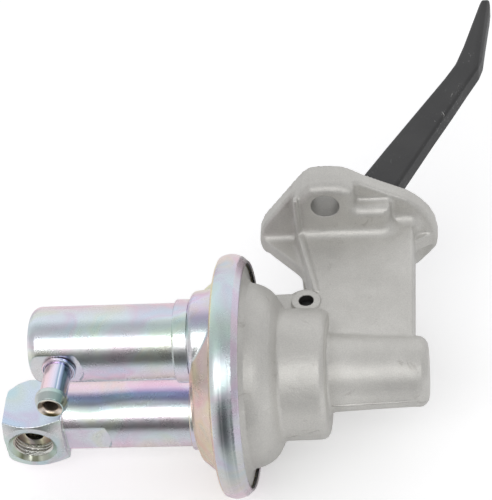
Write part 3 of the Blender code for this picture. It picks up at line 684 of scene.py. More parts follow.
def zinc_material(name, stops, rough=0.28, warp=0.05, rim=None):
    """Bright zinc with its passivation film: its colour follows the turn of the surface, holding the film's tint and
    painted reflections of the studio's light and dark bands.
    """
    m, nt, b = material(name)
    t, sep = elevation(nt, warp)
    film_and_painted_light = ramp(nt, t, turn(stops)).outputs["Color"]
    if rim is not None:
        # the rolled rim has its own film colours with painted reflections, its lip is lavender, and the dish beside it
        # straw to pink
        obj = nt.nodes.new("ShaderNodeTexCoord").outputs["Object"]
        mp = nt.nodes.new("ShaderNodeMapping")
        mp.inputs["Location"].default_value = (0.0, FACE_N / 1000, 0.0)
        mp.inputs["Scale"].default_value = (0.0, 1.0, 1.0)
        nt.links.new(obj, mp.inputs["Vector"])
        ln = nt.nodes.new("ShaderNodeVectorMath")
        ln.operation = "LENGTH"
        nt.links.new(mp.outputs["Vector"], ln.inputs[0])
        rim_film_and_painted_light = ramp(nt, t, turn(rim)).outputs["Color"]
        onrim = ramp(nt, math_(nt, "MULTIPLY", ln.outputs["Value"], 10.0), [(0.385, (0, 0, 0)), (0.40, (1, 1, 1))])
        film_and_painted_light = mixc(nt, onrim.outputs["Color"], film_and_painted_light, rim_film_and_painted_light)
        # painted dark reflection: the crown is darkened, in streaks along the rim, on the lip's side where it turns
        # down to the front
        osep = nt.nodes.new("ShaderNodeSeparateXYZ")
        nt.links.new(obj, osep.inputs[0])
        smp = nt.nodes.new("ShaderNodeMapping")
        smp.inputs["Scale"].default_value = (1500.0, 30.0, 30.0)
        nt.links.new(obj, smp.inputs["Vector"])
        sn = nt.nodes.new("ShaderNodeTexNoise")
        sn.inputs["Scale"].default_value = 1.0
        sn.inputs["Detail"].default_value = 3.0
        nt.links.new(smp.outputs["Vector"], sn.inputs["Vector"])
        sx = math_(nt, "ADD", sep.outputs["X"], math_(nt, "MULTIPLY", math_(nt, "SUBTRACT", sn.outputs["Fac"], 0.5), 0.34))
        tilt = ramp(nt, math_(nt, "ADD", math_(nt, "MULTIPLY", sx, 0.5), 0.5), [
            (0.26, (0, 0, 0)), (0.40, (0.12,) * 3), (0.47, (0.50,) * 3), (0.53, (1, 1, 1)), (0.66, (0.92,) * 3),
            (0.74, (0.45,) * 3)])
        zone = ramp(nt, t, turn([(-30, (0, 0, 0)), (-8, (0.35,) * 3), (8, (0.62,) * 3), (22, (0.78,) * 3), (40, (0.80,) * 3),
                                 (56, (0.62,) * 3), (66, (0.2,) * 3), (74, (0, 0, 0))]))
        painted_dark_reflection = math_(nt, "MULTIPLY", math_(nt, "MULTIPLY", tilt.outputs["Color"], zone.outputs["Color"]),
                     onrim.outputs["Color"])
        shade = mixc(nt, 1.0, film_and_painted_light, mixval(nt, (0.34, 0.40, 0.42)), "MULTIPLY")
        film_and_painted_light = mixc(nt, painted_dark_reflection, film_and_painted_light, shade)
        lip = ramp(nt, math_(nt, "MULTIPLY", math_(nt, "ADD", osep.outputs["X"], (27.2 + 2.45) / 1000), 1000.0), [
            (0.0, (0, 0, 0)), (0.22, (0.5, 0.5, 0.5)), (0.4, (1, 1, 1))])
        lip = math_(nt, "MULTIPLY", lip.outputs["Color"], onrim.outputs["Color"])
        lipc = ramp(nt, noise(nt, 26, 2, 0.5).outputs["Fac"], [(0.35, (0.66, 0.68, 0.78)), (0.65, (0.76, 0.70, 0.72))])
        film_and_painted_light = mixc(nt, lip, film_and_painted_light, lipc.outputs["Color"])
        # painted shade: the rim's inward-facing walls, in the gap beside the casting's flange, are painted near-black
        rad = nt.nodes.new("ShaderNodeVectorMath")
        rad.operation = "NORMALIZE"
        nt.links.new(mp.outputs["Vector"], rad.inputs[0])
        inw = nt.nodes.new("ShaderNodeVectorMath")
        inw.operation = "DOT_PRODUCT"
        nt.links.new(rad.outputs["Vector"], inw.inputs[0])
        nt.links.new(nt.nodes.new("ShaderNodeTexCoord").outputs["Normal"], inw.inputs[1])
        painted_gap_shade = ramp(nt, math_(nt, "MULTIPLY", inw.outputs["Value"], -1.0), [(0.15, (0, 0, 0)), (0.4, (1, 1, 1))])
        painted_gap_shade = math_(nt, "MULTIPLY", painted_gap_shade.outputs["Color"], onrim.outputs["Color"])
        edge = ramp(nt, math_(nt, "MULTIPLY", math_(nt, "ADD", osep.outputs["X"], (27.2 + 1.0) / 1000), 1000.0), [
            (0.50, (1, 1, 1)), (0.62, (0, 0, 0))])
        painted_gap_shade = math_(nt, "MULTIPLY", painted_gap_shade, edge.outputs["Color"])
        film_and_painted_light = mixc(nt, painted_gap_shade, film_and_painted_light, mixval(nt, (0.035, 0.035, 0.035)))
        back = ramp(nt, math_(nt, "MULTIPLY", sep.outputs["X"], -1.0), [(0.50, (0, 0, 0)), (0.66, (1, 1, 1))])
        straw = ramp(nt, noise(nt, 34, 2, 0.5, dist=0.7).outputs["Fac"], [
            (0.32, (0.84, 0.64, 0.60)), (0.44, (0.88, 0.74, 0.52)), (0.56, (0.92, 0.84, 0.56)), (0.68, (0.80, 0.64, 0.64))])
        mp2 = nt.nodes.new("ShaderNodeMapping")
        mp2.inputs["Location"].default_value = (0.0, FACE_N / 1000, -NECK_SEP / 1000)
        mp2.inputs["Scale"].default_value = (0.0, 1.0, 1.0)
        nt.links.new(obj, mp2.inputs["Vector"])
        ln2 = nt.nodes.new("ShaderNodeVectorMath")
        ln2.operation = "LENGTH"
        nt.links.new(mp2.outputs["Vector"], ln2.inputs[0])
        offneck = ramp(nt, math_(nt, "MULTIPLY", ln2.outputs["Value"], 10.0), [(0.184, (0, 0, 0)), (0.189, (1, 1, 1))])
        dish = math_(nt, "MULTIPLY", back.outputs["Color"], offneck.outputs["Color"])
        film_and_painted_light = mixc(nt, dish, film_and_painted_light, straw.outputs["Color"])
    patch = noise(nt, 48, 2, 0.5, dist=0.8)
    pr = ramp(nt, patch.outputs["Fac"], [(0.28, (0.86, 1.0, 0.96)), (0.40, (1.0, 1.0, 0.88)), (0.50, (1.0, 1.0, 1.0)),
                                         (0.60, (1.0, 0.86, 0.93)), (0.72, (0.89, 0.93, 1.0))])
    col = mixc(nt, 1.0, film_and_painted_light, pr.outputs["Color"], "MULTIPLY")
    fine = noise(nt, 2300, 2, 0.6)
    gr = ramp(nt, fine.outputs["Fac"], [(0.3, (0.95, 0.95, 0.95)), (0.7, (1.03, 1.03, 1.03))])
    col = mixc(nt, 1.0, col, gr.outputs["Color"], "MULTIPLY")
    nt.links.new(col, b.inputs["Base Color"])
    b.inputs["Metallic"].default_value = 1.0
    mid = noise(nt, 160, 3, 0.6)
    rr = ramp(nt, mid.outputs["Fac"], [(0.3, (rough - 0.03,) * 3), (0.7, (rough + 0.03,) * 3)])
    nt.links.new(rr.outputs["Color"], b.inputs["Roughness"])
    bump(nt, b, fine.outputs["Fac"], 0.23, 0.0002)
    return m


def barb_material():
    """The tube's colour runs round it by the turn of its surface: pink film on the far side of the port, and dark teal
    towards the bar as a painted reflection with a pale band.
    """
    m, nt, b = material("zinc_barb")
    tc = nt.nodes.new("ShaderNodeTexCoord")
    sep = nt.nodes.new("ShaderNodeSeparateXYZ")
    nt.links.new(tc.outputs["Normal"], sep.inputs[0])
    x = math_(nt, "ADD", math_(nt, "MULTIPLY", sep.outputs["X"], 0.5), 0.5)
    w = noise(nt, 90, 2, 0.5)
    x = math_(nt, "ADD", x, math_(nt, "MULTIPLY", math_(nt, "SUBTRACT", w.outputs["Fac"], 0.5), 0.05))
    tube_film_and_reflection = ramp(nt, x, [(0.0, (0.84, 0.66, 0.68)), (0.30, (0.90, 0.70, 0.76)), (0.50, (0.86, 0.78, 0.92)),
                        (0.60, (0.72, 0.74, 0.90)), (0.68, (0.34, 0.46, 0.62)), (0.715, (0.80, 0.88, 0.98)),
                        (0.76, (0.42, 0.52, 0.74)), (0.84, (0.10, 0.16, 0.22)), (0.92, (0.22, 0.34, 0.40)),
                        (1.0, (0.55, 0.60, 0.68))])
    # the bead is greyer and greener than the tube
    obj = nt.nodes.new("ShaderNodeSeparateXYZ")
    nt.links.new(tc.outputs["Object"], obj.inputs[0])
    y = math_(nt, "MULTIPLY", math_(nt, "ADD", obj.outputs["Y"], 0.112), 40.0)
    bead = ramp(nt, y, [(0.0, (0.62, 0.70, 0.68)), (0.30, (0.60, 0.68, 0.66)), (0.325, (0, 0, 0)), (1.0, (0, 0, 0))],
                "CONSTANT")
    on = ramp(nt, y, [(0.0, (1, 1, 1)), (0.325, (1, 1, 1)), (0.335, (0.12, 0.12, 0.12)), (0.36, (0, 0, 0))])
    # the bead is darkened towards the bar in the same way: painted reflection
    side = ramp(nt, x, [(0.0, (1.0, 0.92, 0.92)), (0.45, (1, 1, 1)), (0.70, (0.72, 0.86, 0.84)), (0.86, (0.34, 0.48, 0.50)),
                        (1.0, (0.6, 0.7, 0.72))])
    beadc = mixc(nt, 1.0, bead.outputs["Color"], side.outputs["Color"], "MULTIPLY")
    col = mixc(nt, on.outputs["Color"], tube_film_and_reflection.outputs["Color"], beadc)
    nt.links.new(col, b.inputs["Base Color"])
    b.inputs["Metallic"].default_value = 1.0
    rr = ramp(nt, w.outputs["Fac"], [(0.3, (0.15,) * 3), (0.7, (0.22,) * 3)])
    nt.links.new(rr.outputs["Color"], b.inputs["Roughness"])
    return m


def mouth_material(name, zc, half, stops, rough=0.22, across=None):
    """A turned opening whose colour runs from its lower lip (0) to its upper lip (1), painting the light and shade
    inside it.
    """
    m, nt, b = material(name)
    tc = nt.nodes.new("ShaderNodeTexCoord")
    sep = nt.nodes.new("ShaderNodeSeparateXYZ")
    nt.links.new(tc.outputs["Object"], sep.inputs[0])
    t = math_(nt, "ADD", math_(nt, "MULTIPLY", math_(nt, "SUBTRACT", sep.outputs["Z"], zc), 0.5 / half), 0.5)
    n = noise(nt, 380, 3, 0.6)
    t = math_(nt, "ADD", t, math_(nt, "MULTIPLY", math_(nt, "SUBTRACT", n.outputs["Fac"], 0.5), 0.06))
    col = ramp(nt, t, stops).outputs["Color"]
    # across the opening: painted highlight spots with painted shade between them
    if across is not None:
        u = math_(nt, "MULTIPLY", math_(nt, "ADD", sep.outputs["X"], (27.2 - PORT_P + 9.0) / 1000), 1000.0 / 18.0)
        u = math_(nt, "ADD", u, math_(nt, "MULTIPLY", math_(nt, "SUBTRACT", n.outputs["Fac"], 0.5), 0.05))
        col = mixc(nt, 1.0, col, ramp(nt, u, across).outputs["Color"], "MULTIPLY")
    nt.links.new(col, b.inputs["Base Color"])
    b.inputs["Metallic"].default_value = 1.0
    rr = ramp(nt, n.outputs["Fac"], [(0.3, (rough - 0.04,) * 3), (0.7, (rough + 0.05,) * 3)])
    nt.links.new(rr.outputs["Color"], b.inputs["Roughness"])
    return m


def plain_metal(name, c0, c1, rough, metal=1.0, scale=700, strength=0.1):
    m, nt, b = material(name)
    n = noise(nt, scale, 3, 0.6)
    r = ramp(nt, n.outputs["Fac"], [(0.3, c0), (0.7, c1)])
    nt.links.new(r.outputs["Color"], b.inputs["Base Color"])
    b.inputs["Metallic"].default_value = metal
    rr = ramp(nt, n.outputs["Fac"], [(0.3, (rough - 0.04,) * 3), (0.7, (rough + 0.05,) * 3)])
    nt.links.new(rr.outputs["Color"], b.inputs["Roughness"])
    bump(nt, b, n.outputs["Fac"], strength, 0.0002)
    return m


def arm_material():
    m, nt, b = material("black_forging_satin")
    big = noise(nt, 60, 3, 0.55)
    base = ramp(nt, big.outputs["Fac"], [(0.3, (0.034, 0.034, 0.035)), (0.7, (0.047, 0.047, 0.047))])
    # short pale scratches near the cam side
    tc = nt.nodes.new("ShaderNodeTexCoord")
    mp = nt.nodes.new("ShaderNodeMapping")
    mp.inputs["Rotation"].default_value = (0, 0, math.radians(28))
    mp.inputs["Scale"].default_value = (1.0, 0.33, 1.0)
    nt.links.new(tc.outputs["Object"], mp.inputs["Vector"])
    s = noise(nt, 620, 4, 0.72, vec=mp.outputs["Vector"], dist=1.0)
    where = noise(nt, 75, 2, 0.5)
    xyz = nt.nodes.new("ShaderNodeSeparateXYZ")
    nt.links.new(tc.outputs["Object"], xyz.inputs[0])
    # how far in from the cam edge, in millimetres: the edge runs straight, then turns at the bend
    x = math_(nt, "MULTIPLY", xyz.outputs["X"], 1000.0)
    y = math_(nt, "MULTIPLY", xyz.outputs["Y"], 1000.0)
    low = math_(nt, "SUBTRACT", math_(nt, "ADD", math_(nt, "MULTIPLY", y, 0.4606), 18.7), x)
    top = math_(nt, "SUBTRACT", math_(nt, "ADD", math_(nt, "MULTIPLY", y, 0.10), 51.2), x)
    inward = math_(nt, "MULTIPLY", math_(nt, "MINIMUM", low, top), 0.1)
    band = ramp(nt, inward, [(0.16, (0, 0, 0)), (0.26, (1, 1, 1)), (0.50, (1, 1, 1)), (0.66, (0.12,) * 3), (1.0, (0.10,) * 3)])
    sr = ramp(nt, s.outputs["Fac"], [(0.60, (0, 0, 0)), (0.66, (1, 1, 1))])
    wr = ramp(nt, where.outputs["Fac"], [(0.46, (0, 0, 0)), (0.56, (1, 1, 1))])
    mask = math_(nt, "MULTIPLY", math_(nt, "MULTIPLY", sr.outputs["Color"], wr.outputs["Color"]), band.outputs["Color"])
    # painted light and shade: the face is darkest just inside the rounded edge, and the edge itself paler as a painted
    # highlight
    painted_edge_light = ramp(nt, inward, [(0.0, (1.75,) * 3), (0.10, (1.6,) * 3), (0.16, (0.80,) * 3), (0.30, (0.82,) * 3), (0.42, (1, 1, 1))])
    face = mixc(nt, 1.0, base.outputs["Color"], painted_edge_light.outputs["Color"], "MULTIPLY")
    col = mixc(nt, mask, face, (0.34, 0.34, 0.33))
    nt.links.new(col, b.inputs["Base Color"])
    b.inputs["Metallic"].default_value = 0.0
    b.inputs["Specular IOR Level"].default_value = 0.4
    fine = noise(nt, 1500, 3, 0.6)
    rr = ramp(nt, fine.outputs["Fac"], [(0.3, (0.44,) * 3), (0.7, (0.54,) * 3)])
    nt.links.new(rr.outputs["Color"], b.inputs["Roughness"])
    bump(nt, b, fine.outputs["Fac"], 0.12, 0.0002)
    return m


def soft_material(name, c0, c1, rough, scale, weave=False):
    m, nt, b = material(name)
    if weave:
        w = nt.nodes.new("ShaderNodeTexWave")
        w.inputs["Scale"].default_value = scale
        w.inputs["Distortion"].default_value = 0.6
        nt.links.new(nt.nodes.new("ShaderNodeTexCoord").outputs["Object"], w.inputs["Vector"])
        src = w.outputs["Fac"]
    else:
        src = noise(nt, scale, 3, 0.6).outputs["Fac"]
    r = ramp(nt, src, [(0.25, c0), (0.75, c1)])
    nt.links.new(r.outputs["Color"], b.inputs["Base Color"])
    b.inputs["Roughness"].default_value = rough
    bump(nt, b, src, 0.25, 0.0002)
    return m


# colour stops by turn for each zinc piece: the film's tints with painted reflections, near white where the softbox
# would be reflected and darker grey bands where the dark horizon would be
CAN_FILM_AND_REFLECTION = [(-75, (0.78, 0.70, 0.78)), (-30, (0.75, 0.68, 0.74)), (-12, (0.90, 0.80, 0.90)), (0, (0.77, 0.77, 0.88)),
            (10, (0.64, 0.72, 0.77)), (18, (0.66, 0.70, 0.72)), (26, (0.84, 0.88, 0.88)), (33, (0.98, 1.0, 1.0)), (40, (0.96, 1.0, 0.99)),
            (48, (0.93, 0.99, 0.98)), (54, (0.80, 0.93, 0.93)), (60, (0.72, 0.85, 0.85)), (66, (0.69, 0.83, 0.83)),
            (72, (0.66, 0.77, 0.80)), (84, (0.74, 0.83, 0.90)), (96, (0.69, 0.74, 0.80)), (108, (0.71, 0.68, 0.72)),
            (120, (0.93, 0.82, 0.84)), (150, (0.95, 0.82, 0.83)), (190, (0.84, 0.78, 0.86)), (240, (0.80, 0.80, 0.88))]
NECK_FILM_AND_REFLECTION = [(-60, (0.80, 0.76, 0.86)), (-14, (0.88, 0.80, 0.92)), (0, (0.80, 0.78, 0.92)), (12, (0.78, 0.80, 0.90)),
             (26, (0.98, 1.0, 1.0)), (48, (0.95, 1.0, 0.99)), (56, (0.84, 0.95, 0.94)), (64, (0.60, 0.66, 0.76)),
             (74, (0.55, 0.52, 0.68)), (84, (0.74, 0.64, 0.78)), (96, (0.72, 0.70, 0.86)), (112, (0.78, 0.68, 0.76)),
             (124, (0.94, 0.84, 0.78)), (150, (0.95, 0.88, 0.70)), (210, (0.84, 0.78, 0.86))]
BAR_FILM_AND_REFLECTION = [(-75, (0.78, 0.70, 0.74)), (-40, (0.74, 0.66, 0.70)), (-26, (0.90, 0.81, 0.87)), (-12, (0.90, 0.86, 0.94)),
            (2, (0.76, 0.84, 0.89)), (12, (0.62, 0.69, 0.72)), (22, (0.56, 0.60, 0.60)), (28, (0.78, 0.82, 0.82)), (35, (0.97, 1.0, 1.0)),
            (52, (0.96, 1.0, 1.0)), (58, (0.75, 0.90, 0.92)), (64, (0.76, 0.90, 0.96)), (70, (0.42, 0.54, 0.66)),
            (76, (0.42, 0.58, 0.78)), (82, (0.34, 0.42, 0.64)), (88, (0.56, 0.50, 0.70)), (94, (0.78, 0.68, 0.82)),
            (101, (0.86, 0.69, 0.80)), (125, (0.90, 0.74, 0.80)), (170, (0.84, 0.74, 0.84)), (230, (0.80, 0.78, 0.88))]
RIM_FILM_AND_REFLECTION = [(-60, (0.96, 0.88, 0.90)), (-40, (1.0, 0.93, 0.95)), (-30, (0.95, 0.88, 0.90)), (-20, (0.89, 0.80, 0.84)),
            (-8, (0.79, 0.77, 0.84)), (4, (0.67, 0.71, 0.78)), (14, (0.66, 0.69, 0.72)), (24, (0.95, 1.0, 1.0)),
            (46, (0.92, 1.0, 0.99)), (52, (0.82, 0.93, 0.92)), (58, (0.70, 0.86, 0.82)), (70, (0.66, 0.81, 0.74)),
            (82, (0.67, 0.82, 0.84)), (94, (0.61, 0.72, 0.77)), (106, (0.62, 0.64, 0.70)), (113, (0.73, 0.69, 0.79)),
            (120, (0.92, 0.79, 0.83)), (145, (0.96, 0.80, 0.80)), (200, (0.84, 0.78, 0.86))]
END_FILM_AND_REFLECTION = [(-75, (0.72, 0.74, 0.84)), (-20, (0.70, 0.80, 0.80)), (0, (0.68, 0.80, 0.76)), (30, (0.80, 0.90, 0.84)),
            (50, (0.90, 0.98, 0.98)), (75, (0.66, 0.80, 0.88)), (90, (0.70, 0.80, 0.92)), (120, (0.86, 0.76, 0.84)),
            (180, (0.84, 0.76, 0.86))]
CAST = cast_material()
CANM = zinc_material("zinc_canister", CAN_FILM_AND_REFLECTION)
COVM = zinc_material("zinc_cover", NECK_FILM_AND_REFLECTION, rim=RIM_FILM_AND_REFLECTION)
BARM = zinc_material("zinc_fitting", BAR_FILM_AND_REFLECTION)
ENDM = zinc_material("zinc_square_end", END_FILM_AND_REFLECTION)
BARBM = barb_material()
# the barb's mouth: painted light and shade, dark at the lower lip, a bright band, dark in the middle and light at the
# upper lip
BARBIN = mouth_material("barb_mouth", NECK_SEP / 1000, 0.0045, [
    (0.0, (0.06, 0.05, 0.02)), (0.06, (0.10, 0.08, 0.03)), (0.12, (0.30, 0.24, 0.13)), (0.17, (0.72, 0.62, 0.50)),
    (0.30, (0.96, 0.86, 0.78)), (0.42, (0.70, 0.62, 0.54)), (0.50, (0.20, 0.16, 0.12)), (0.78, (0.16, 0.13, 0.10)),
    (0.88, (0.80, 0.76, 0.66)), (1.0, (0.92, 0.90, 0.82))], 0.36)
# the port's thread, floor and chamfer: painted light and shade, with painted highlight spots across the floor and
# chamfer
PORTM = mouth_material("port_thread", -NECK_SEP / 1000 - 0.0013, 0.0088, [
    (0.0, (0.80, 0.82, 0.76)), (0.22, (0.84, 0.84, 0.80)), (0.40, (0.60, 0.56, 0.52)), (0.50, (0.52, 0.46, 0.42)),
    (0.62, (0.55, 0.50, 0.42)), (0.85, (0.50, 0.50, 0.46)), (1.0, (0.60, 0.62, 0.56))], 0.24)
PORTF = mouth_material("port_floor", -NECK_SEP / 1000 - 0.0013, 0.0075, [
    (0.0, (0.62, 0.60, 0.60)), (0.30, (0.80, 0.80, 0.80)), (0.55, (1.0, 1.0, 1.0)), (1.0, (0.9, 0.9, 0.9))], 0.30, [
    (0.10, (0.40, 0.31, 0.27)), (0.22, (0.52, 0.42, 0.38)), (0.31, (1.0, 0.92, 0.74)), (0.38, (0.62, 0.54, 0.58)),
    (0.46, (0.30, 0.29, 0.27)), (0.55, (0.42, 0.40, 0.33)), (0.62, (1.0, 0.94, 0.74)), (0.72, (0.98, 0.78, 0.66)),
    (0.84, (0.92, 0.66, 0.54)), (0.92, (0.60, 0.50, 0.42))])
PORTC = mouth_material("port_chamfer", -NECK_SEP / 1000 - 0.0013, 0.0092, [
    (0.0, (0.50, 0.53, 0.48)), (0.12, (0.56, 0.58, 0.50)), (0.30, (0.62, 0.70, 0.66)),
    (0.55, (0.66, 0.74, 0.72)), (0.80, (0.58, 0.64, 0.60)), (1.0, (0.72, 0.80, 0.78))], 0.34, [
    (0.0, (0.95, 1.0, 0.98)), (0.12, (0.90, 0.93, 0.78)), (0.20, (0.48, 0.49, 0.36)), (0.27, (1.0, 1.0, 0.96)),
    (0.36, (1.0, 1.0, 0.96)), (0.42, (0.42, 0.42, 0.35)), (0.52, (0.36, 0.36, 0.29)), (0.60, (1.0, 1.0, 0.96)),
    (0.74, (1.0, 1.0, 1.0)), (0.82, (0.80, 0.88, 0.85)), (1.0, (0.90, 0.98, 0.96))])
BORE = plain_metal("fitting_bore", (0.55, 0.50, 0.36), (0.72, 0.68, 0.52), 0.24, scale=900)
ARMM = arm_material()
STEELM = plain_metal("bright_steel_turned", (0.56, 0.56, 0.57), (0.66, 0.66, 0.66), 0.30)
# the pin is painted near-black: painted shade for its ends down in their recesses
PIN_PAINTED_SHADE = plain_metal("pin_end_painted_shade", (0.030, 0.030, 0.030), (0.055, 0.055, 0.055), 0.42, metal=0.6)
SPRINGM = plain_metal("spring_wire", (0.30, 0.30, 0.31), (0.42, 0.42, 0.42), 0.38)
BRASSM = plain_metal("brass_turned", (0.66, 0.50, 0.24), (0.78, 0.61, 0.32), 0.33)
RUBBERM = soft_material("rubber_matte", (0.020, 0.020, 0.020), (0.040, 0.040, 0.040), 0.7, 900)
CLOTHM = soft_material("coated_cloth", (0.06, 0.05, 0.035), (0.13, 0.10, 0.07), 0.8, 900, weave=True)

# ------------------------------------------------------------------ build the pieces
cast_ob, _, _ = field_mesh("casting", casting, (-9, -45, -45), (71, 78.2, 45), 0.68)
cast_ob.data.materials.append(CAST)
cover_ob, _, _ = field_mesh("cover", cover, (-25.5, -47, -47), (1.0, 47, 47), 0.55)
cover_ob.data.materials.append(COVM)
can_ob, _, _ = field_mesh("canister", canister, (-81.5, -16.6, 3.0), (-17, 16.6, 36.4), 0.42)
can_ob.data.materials.append(CANM)
fit_ob, FP, FQ = field_mesh("outlet", fitting, (-96.2, -17, -34), (-18.5, 14, -6), 0.40)
fit_ob.data.materials.append(BARM)
fit_ob.data.materials.append(BORE)
fit_ob.data.materials.append(ENDM)
port_ob = port_thread("outlet_port_thread")
for mat_ in (PORTM, PORTF, PORTC):
    port_ob.data.materials.append(mat_)
ctr = FP[FQ].mean(1)
inport = (np.hypot(ctr[:, 0] - PORT_P, ctr[:, 2] + NECK_SEP) < 8.7) & (ctr[:, 1] > BLOCK[2] + 0.25) & (ctr[:, 1] < 4)
if len(fit_ob.data.polygons) == len(inport):
    kind = np.where(inport, 1, np.where(ctr[:, 0] < -72.0, 2, 0))
    fit_ob.data.polygons.foreach_set("material_index", kind.astype(np.int32))
arm_ob, _, _ = field_mesh("rocker", arm, (13.5, -6.5, -7.5), (93.5, 217.5, 7.5), 0.50)
arm_ob.data.materials.append(ARMM)
barb_ob = lathe("barb", BARB, (BARB_P, 0, NECK_SEP), "N", 96)
barb_ob.data.materials.append(BARBM)
barb_ob.data.materials.append(BARBIN)
for poly_ in barb_ob.data.polygons:
    c = poly_.center
    rad = math.hypot(c.x * 1000 + 27.2 - BARB_P, c.z * 1000 - NECK_SEP)
    if rad < 4.6 and c.y * 1000 + FACE_N < -13:
        poly_.material_index = 1
# the tube leans a little towards the fittings' end
foot = Vector(((BARB_P - 27.2) / 1000, (-12.6 - FACE_N) / 1000, NECK_SEP / 1000))
barb_ob.data.transform(Matrix.Translation(foot) @ Matrix.Rotation(math.radians(-2.9), 4, "Z") @ Matrix.Translation(-foot))
pin_ob = lathe("pin", PIN, (PIVOT_P, PIVOT_N, 0), "Q", 48)
pin_ob.data.materials.append(PIN_PAINTED_SHADE)

for ob, body, nodes, slot in (
        (cast_ob, "housing", ["body_casting"], "cast_alloy"),
        (cover_ob, "housing", ["cover_shell"], "clear_zinc"),
        (can_ob, "housing", ["inlet_canister"], "clear_zinc"),
        (fit_ob, "housing", ["outlet_fitting"], "clear_zinc"),
        (port_ob, "housing", ["outlet_fitting"], "clear_zinc"),
        (barb_ob, "housing", ["hose_barb"], "clear_zinc_fitting"),
        (pin_ob, "housing", ["pivot_pin"], "bright_steel"),
        (arm_ob, "rocker", ["rocker_arm"], "black_forging")):
    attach(ob, body)
    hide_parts(*nodes)

# ------------------------------------------------------------------ the CAD nodes that stay
STAY = {"rocker_return_spring": SPRINGM, "diaphragm_spring": SPRINGM, "inlet_valve_spring": SPRINGM,
        "outlet_valve_spring": SPRINGM, "pull_rod": STEELM, "spring_seat": STEELM, "upper_plate": STEELM,
        "lower_plate": STEELM, "rod_nut": STEELM, "seal_retainer": STEELM, "diaphragm": CLOTHM, "rod_seal": RUBBERM,
        "inlet_valve_disc": RUBBERM, "outlet_valve_disc": RUBBERM, "inlet_valve_seat": BRASSM,
        "outlet_valve_seat": BRASSM, "inlet_valve_stem": BRASSM, "outlet_valve_stem": BRASSM}
for name, mat in STAY.items():
    ob = bpy.data.objects[name]
    if not ob.material_slots:
        ob.data.materials.append(mat)
    for s in ob.material_slots:
        s.material = mat

# ------------------------------------------------------------------ springs and cloth, copied as fixed meshes
# each spring is copied as a plain mesh with the spring material in place of its part; the body and fixed end listed
# with it are not used
for name, body, fixed in (("diaphragm_spring", "rod_group", 1), ("rocker_return_spring", "rocker", 1),
                          ("inlet_valve_spring", "inlet_disc", 1), ("outlet_valve_spring", "outlet_disc", 0)):
    ob = bpy.data.objects.new(name.replace("spring", "coil"), bpy.data.objects[name].data.copy())
    bpy.context.scene.collection.objects.link(ob)
    for s in ob.material_slots:
        s.material = SPRINGM
    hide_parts(name)
    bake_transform(ob)

# the cloth is clamped between the plates out to 25 mm and lies on the casting from 30 mm; it is made as a flat ring,
# with close rings in between
radii = [2.8, 12.0, 20.0, 25.2, 25.7, 26.2, 26.7, 27.2, 27.7, 28.2, 28.7, 29.2, 29.7, 30.1, 36.0, 43.6]
cloth_ob = lathe("diaphragm_cloth", [(-7.9, r) for r in radii] + [(-9.2, r) for r in radii[::-1]], (0, 0, 0), "P", 96)
cloth_ob.data.materials.append(CLOTHM)
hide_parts("diaphragm")
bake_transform(cloth_ob)

# ------------------------------------------------------------------ floor, light, world, camera
FLOOR_Z = -0.0458
bm = bmesh.new()
bmesh.ops.create_grid(bm, x_segments=8, y_segments=8, size=3.0)
me = bpy.data.meshes.new("floor")
bm.to_mesh(me)
bm.free()
floor = bpy.data.objects.new("floor", me)
floor.location = (0, 3.0 - 0.245, FLOOR_Z - 0.0002)
bpy.context.scene.collection.objects.link(floor)
fm, nt, b = material("floor_white")
b.inputs["Base Color"].default_value = (0.90, 0.90, 0.90, 1)
b.inputs["Roughness"].default_value = 0.9
b.inputs["Specular IOR Level"].default_value = 0.1
b.inputs["Emission Color"].default_value = (1, 1, 1, 1)
b.inputs["Emission Strength"].default_value = 0.0
lp = nt.nodes.new("ShaderNodeLightPath")
nt.links.new(math_(nt, "MULTIPLY", lp.outputs["Is Camera Ray"], 0.30), b.inputs["Emission Strength"])
floor.data.materials.append(fm)


def aim(ob, at, to):
    ob.location = at
    ob.rotation_euler = (Vector(to) - Vector(at)).to_track_quat("-Z", "Y").to_euler()


def softbox(name, at, sx, sy, power, colour=(1, 1, 1)):
    li = bpy.data.lights.new(name, "AREA")
    li.shape = "RECTANGLE"
    li.size, li.size_y = sx, sy
    li.energy = power
    li.color = colour
    ob = bpy.data.objects.new(name, li)
    bpy.context.scene.collection.objects.link(ob)
    aim(ob, at, (-0.02, -0.06, 0.0))
    return ob


def direction(az_from_front, elev, dist):
    """Away from the pump: 0 azimuth is the camera's side (-Y)."""
    a, e = math.radians(az_from_front), math.radians(elev)
    return (dist * math.sin(a) * math.cos(e), -0.05 - dist * math.cos(a) * math.cos(e), dist * math.sin(e))


softbox("key", direction(0, 48, 1.5), 2.4, 0.68, 10.6)

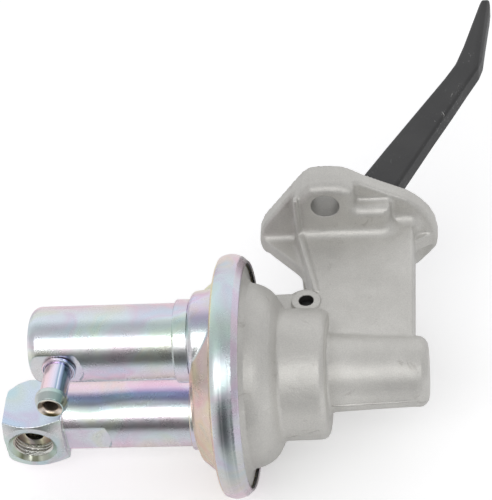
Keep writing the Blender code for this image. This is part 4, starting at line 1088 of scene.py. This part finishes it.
world = bpy.data.worlds.new("studio")
bpy.context.scene.world = world
world.use_nodes = True
nt = world.node_tree
bg = nt.nodes["Background"]
tc = nt.nodes.new("ShaderNodeTexCoord")
dot = nt.nodes.new("ShaderNodeVectorMath")
dot.operation = "DOT_PRODUCT"
dot.inputs[1].default_value = (0.0, -0.9994, 0.035)
nt.links.new(tc.outputs["Generated"], dot.inputs[0])
half = math_(nt, "ADD", math_(nt, "MULTIPLY", dot.outputs["Value"], 0.5), 0.5)
wr = ramp(nt, half, [(0.22, (0.96, 0.96, 0.97)), (0.34, (0.72, 0.72, 0.73)), (0.44, (0.58, 0.58, 0.59)),
                     (0.66, (0.58, 0.58, 0.59)), (0.80, (0.52, 0.52, 0.53)), (0.915, (0.42, 0.42, 0.425)),
                     (0.965, (0.15, 0.15, 0.152)), (1.0, (0.08, 0.08, 0.082))])
lp = nt.nodes.new("ShaderNodeLightPath")
seen = mixc(nt, lp.outputs["Is Camera Ray"], wr.outputs["Color"], (1.25, 1.25, 1.25))
nt.links.new(seen, bg.inputs["Color"])
bg.inputs["Strength"].default_value = 1.0

VIEW_P, VIEW_N, VIEW_Q = 0.118, -0.712, 0.692
v = Vector((VIEW_P, VIEW_N, VIEW_Q)).normalized()
pi_ = (Vector((1, 0, 0)) - v * v.x).normalized()
w_ = v.cross(pi_)
roll = math.radians(1.8)
right = pi_ * math.cos(roll) - w_ * math.sin(roll)
up = pi_ * math.sin(roll) + w_ * math.cos(roll)
eye_mm = v * 850.0 - right * 2.06 + up * 47.0
cam_data = bpy.data.cameras.new("camera")
cam_data.lens = 163.4
cam_data.sensor_width = 36.0
cam_data.clip_start = 0.05
cam_data.clip_end = 40.0
cam = bpy.data.objects.new("camera", cam_data)
rot = Matrix((right, up, v)).transposed().to_4x4()
cam.matrix_world = Matrix.Translation(Vector(((eye_mm.x - 27.2) / 1000, (eye_mm.y - FACE_N) / 1000, eye_mm.z / 1000))) @ rot
bpy.context.scene.collection.objects.link(cam)
bpy.context.scene.camera = cam
bpy.context.scene.view_settings.view_transform = "Standard"
bpy.context.scene.view_settings.look = "None"
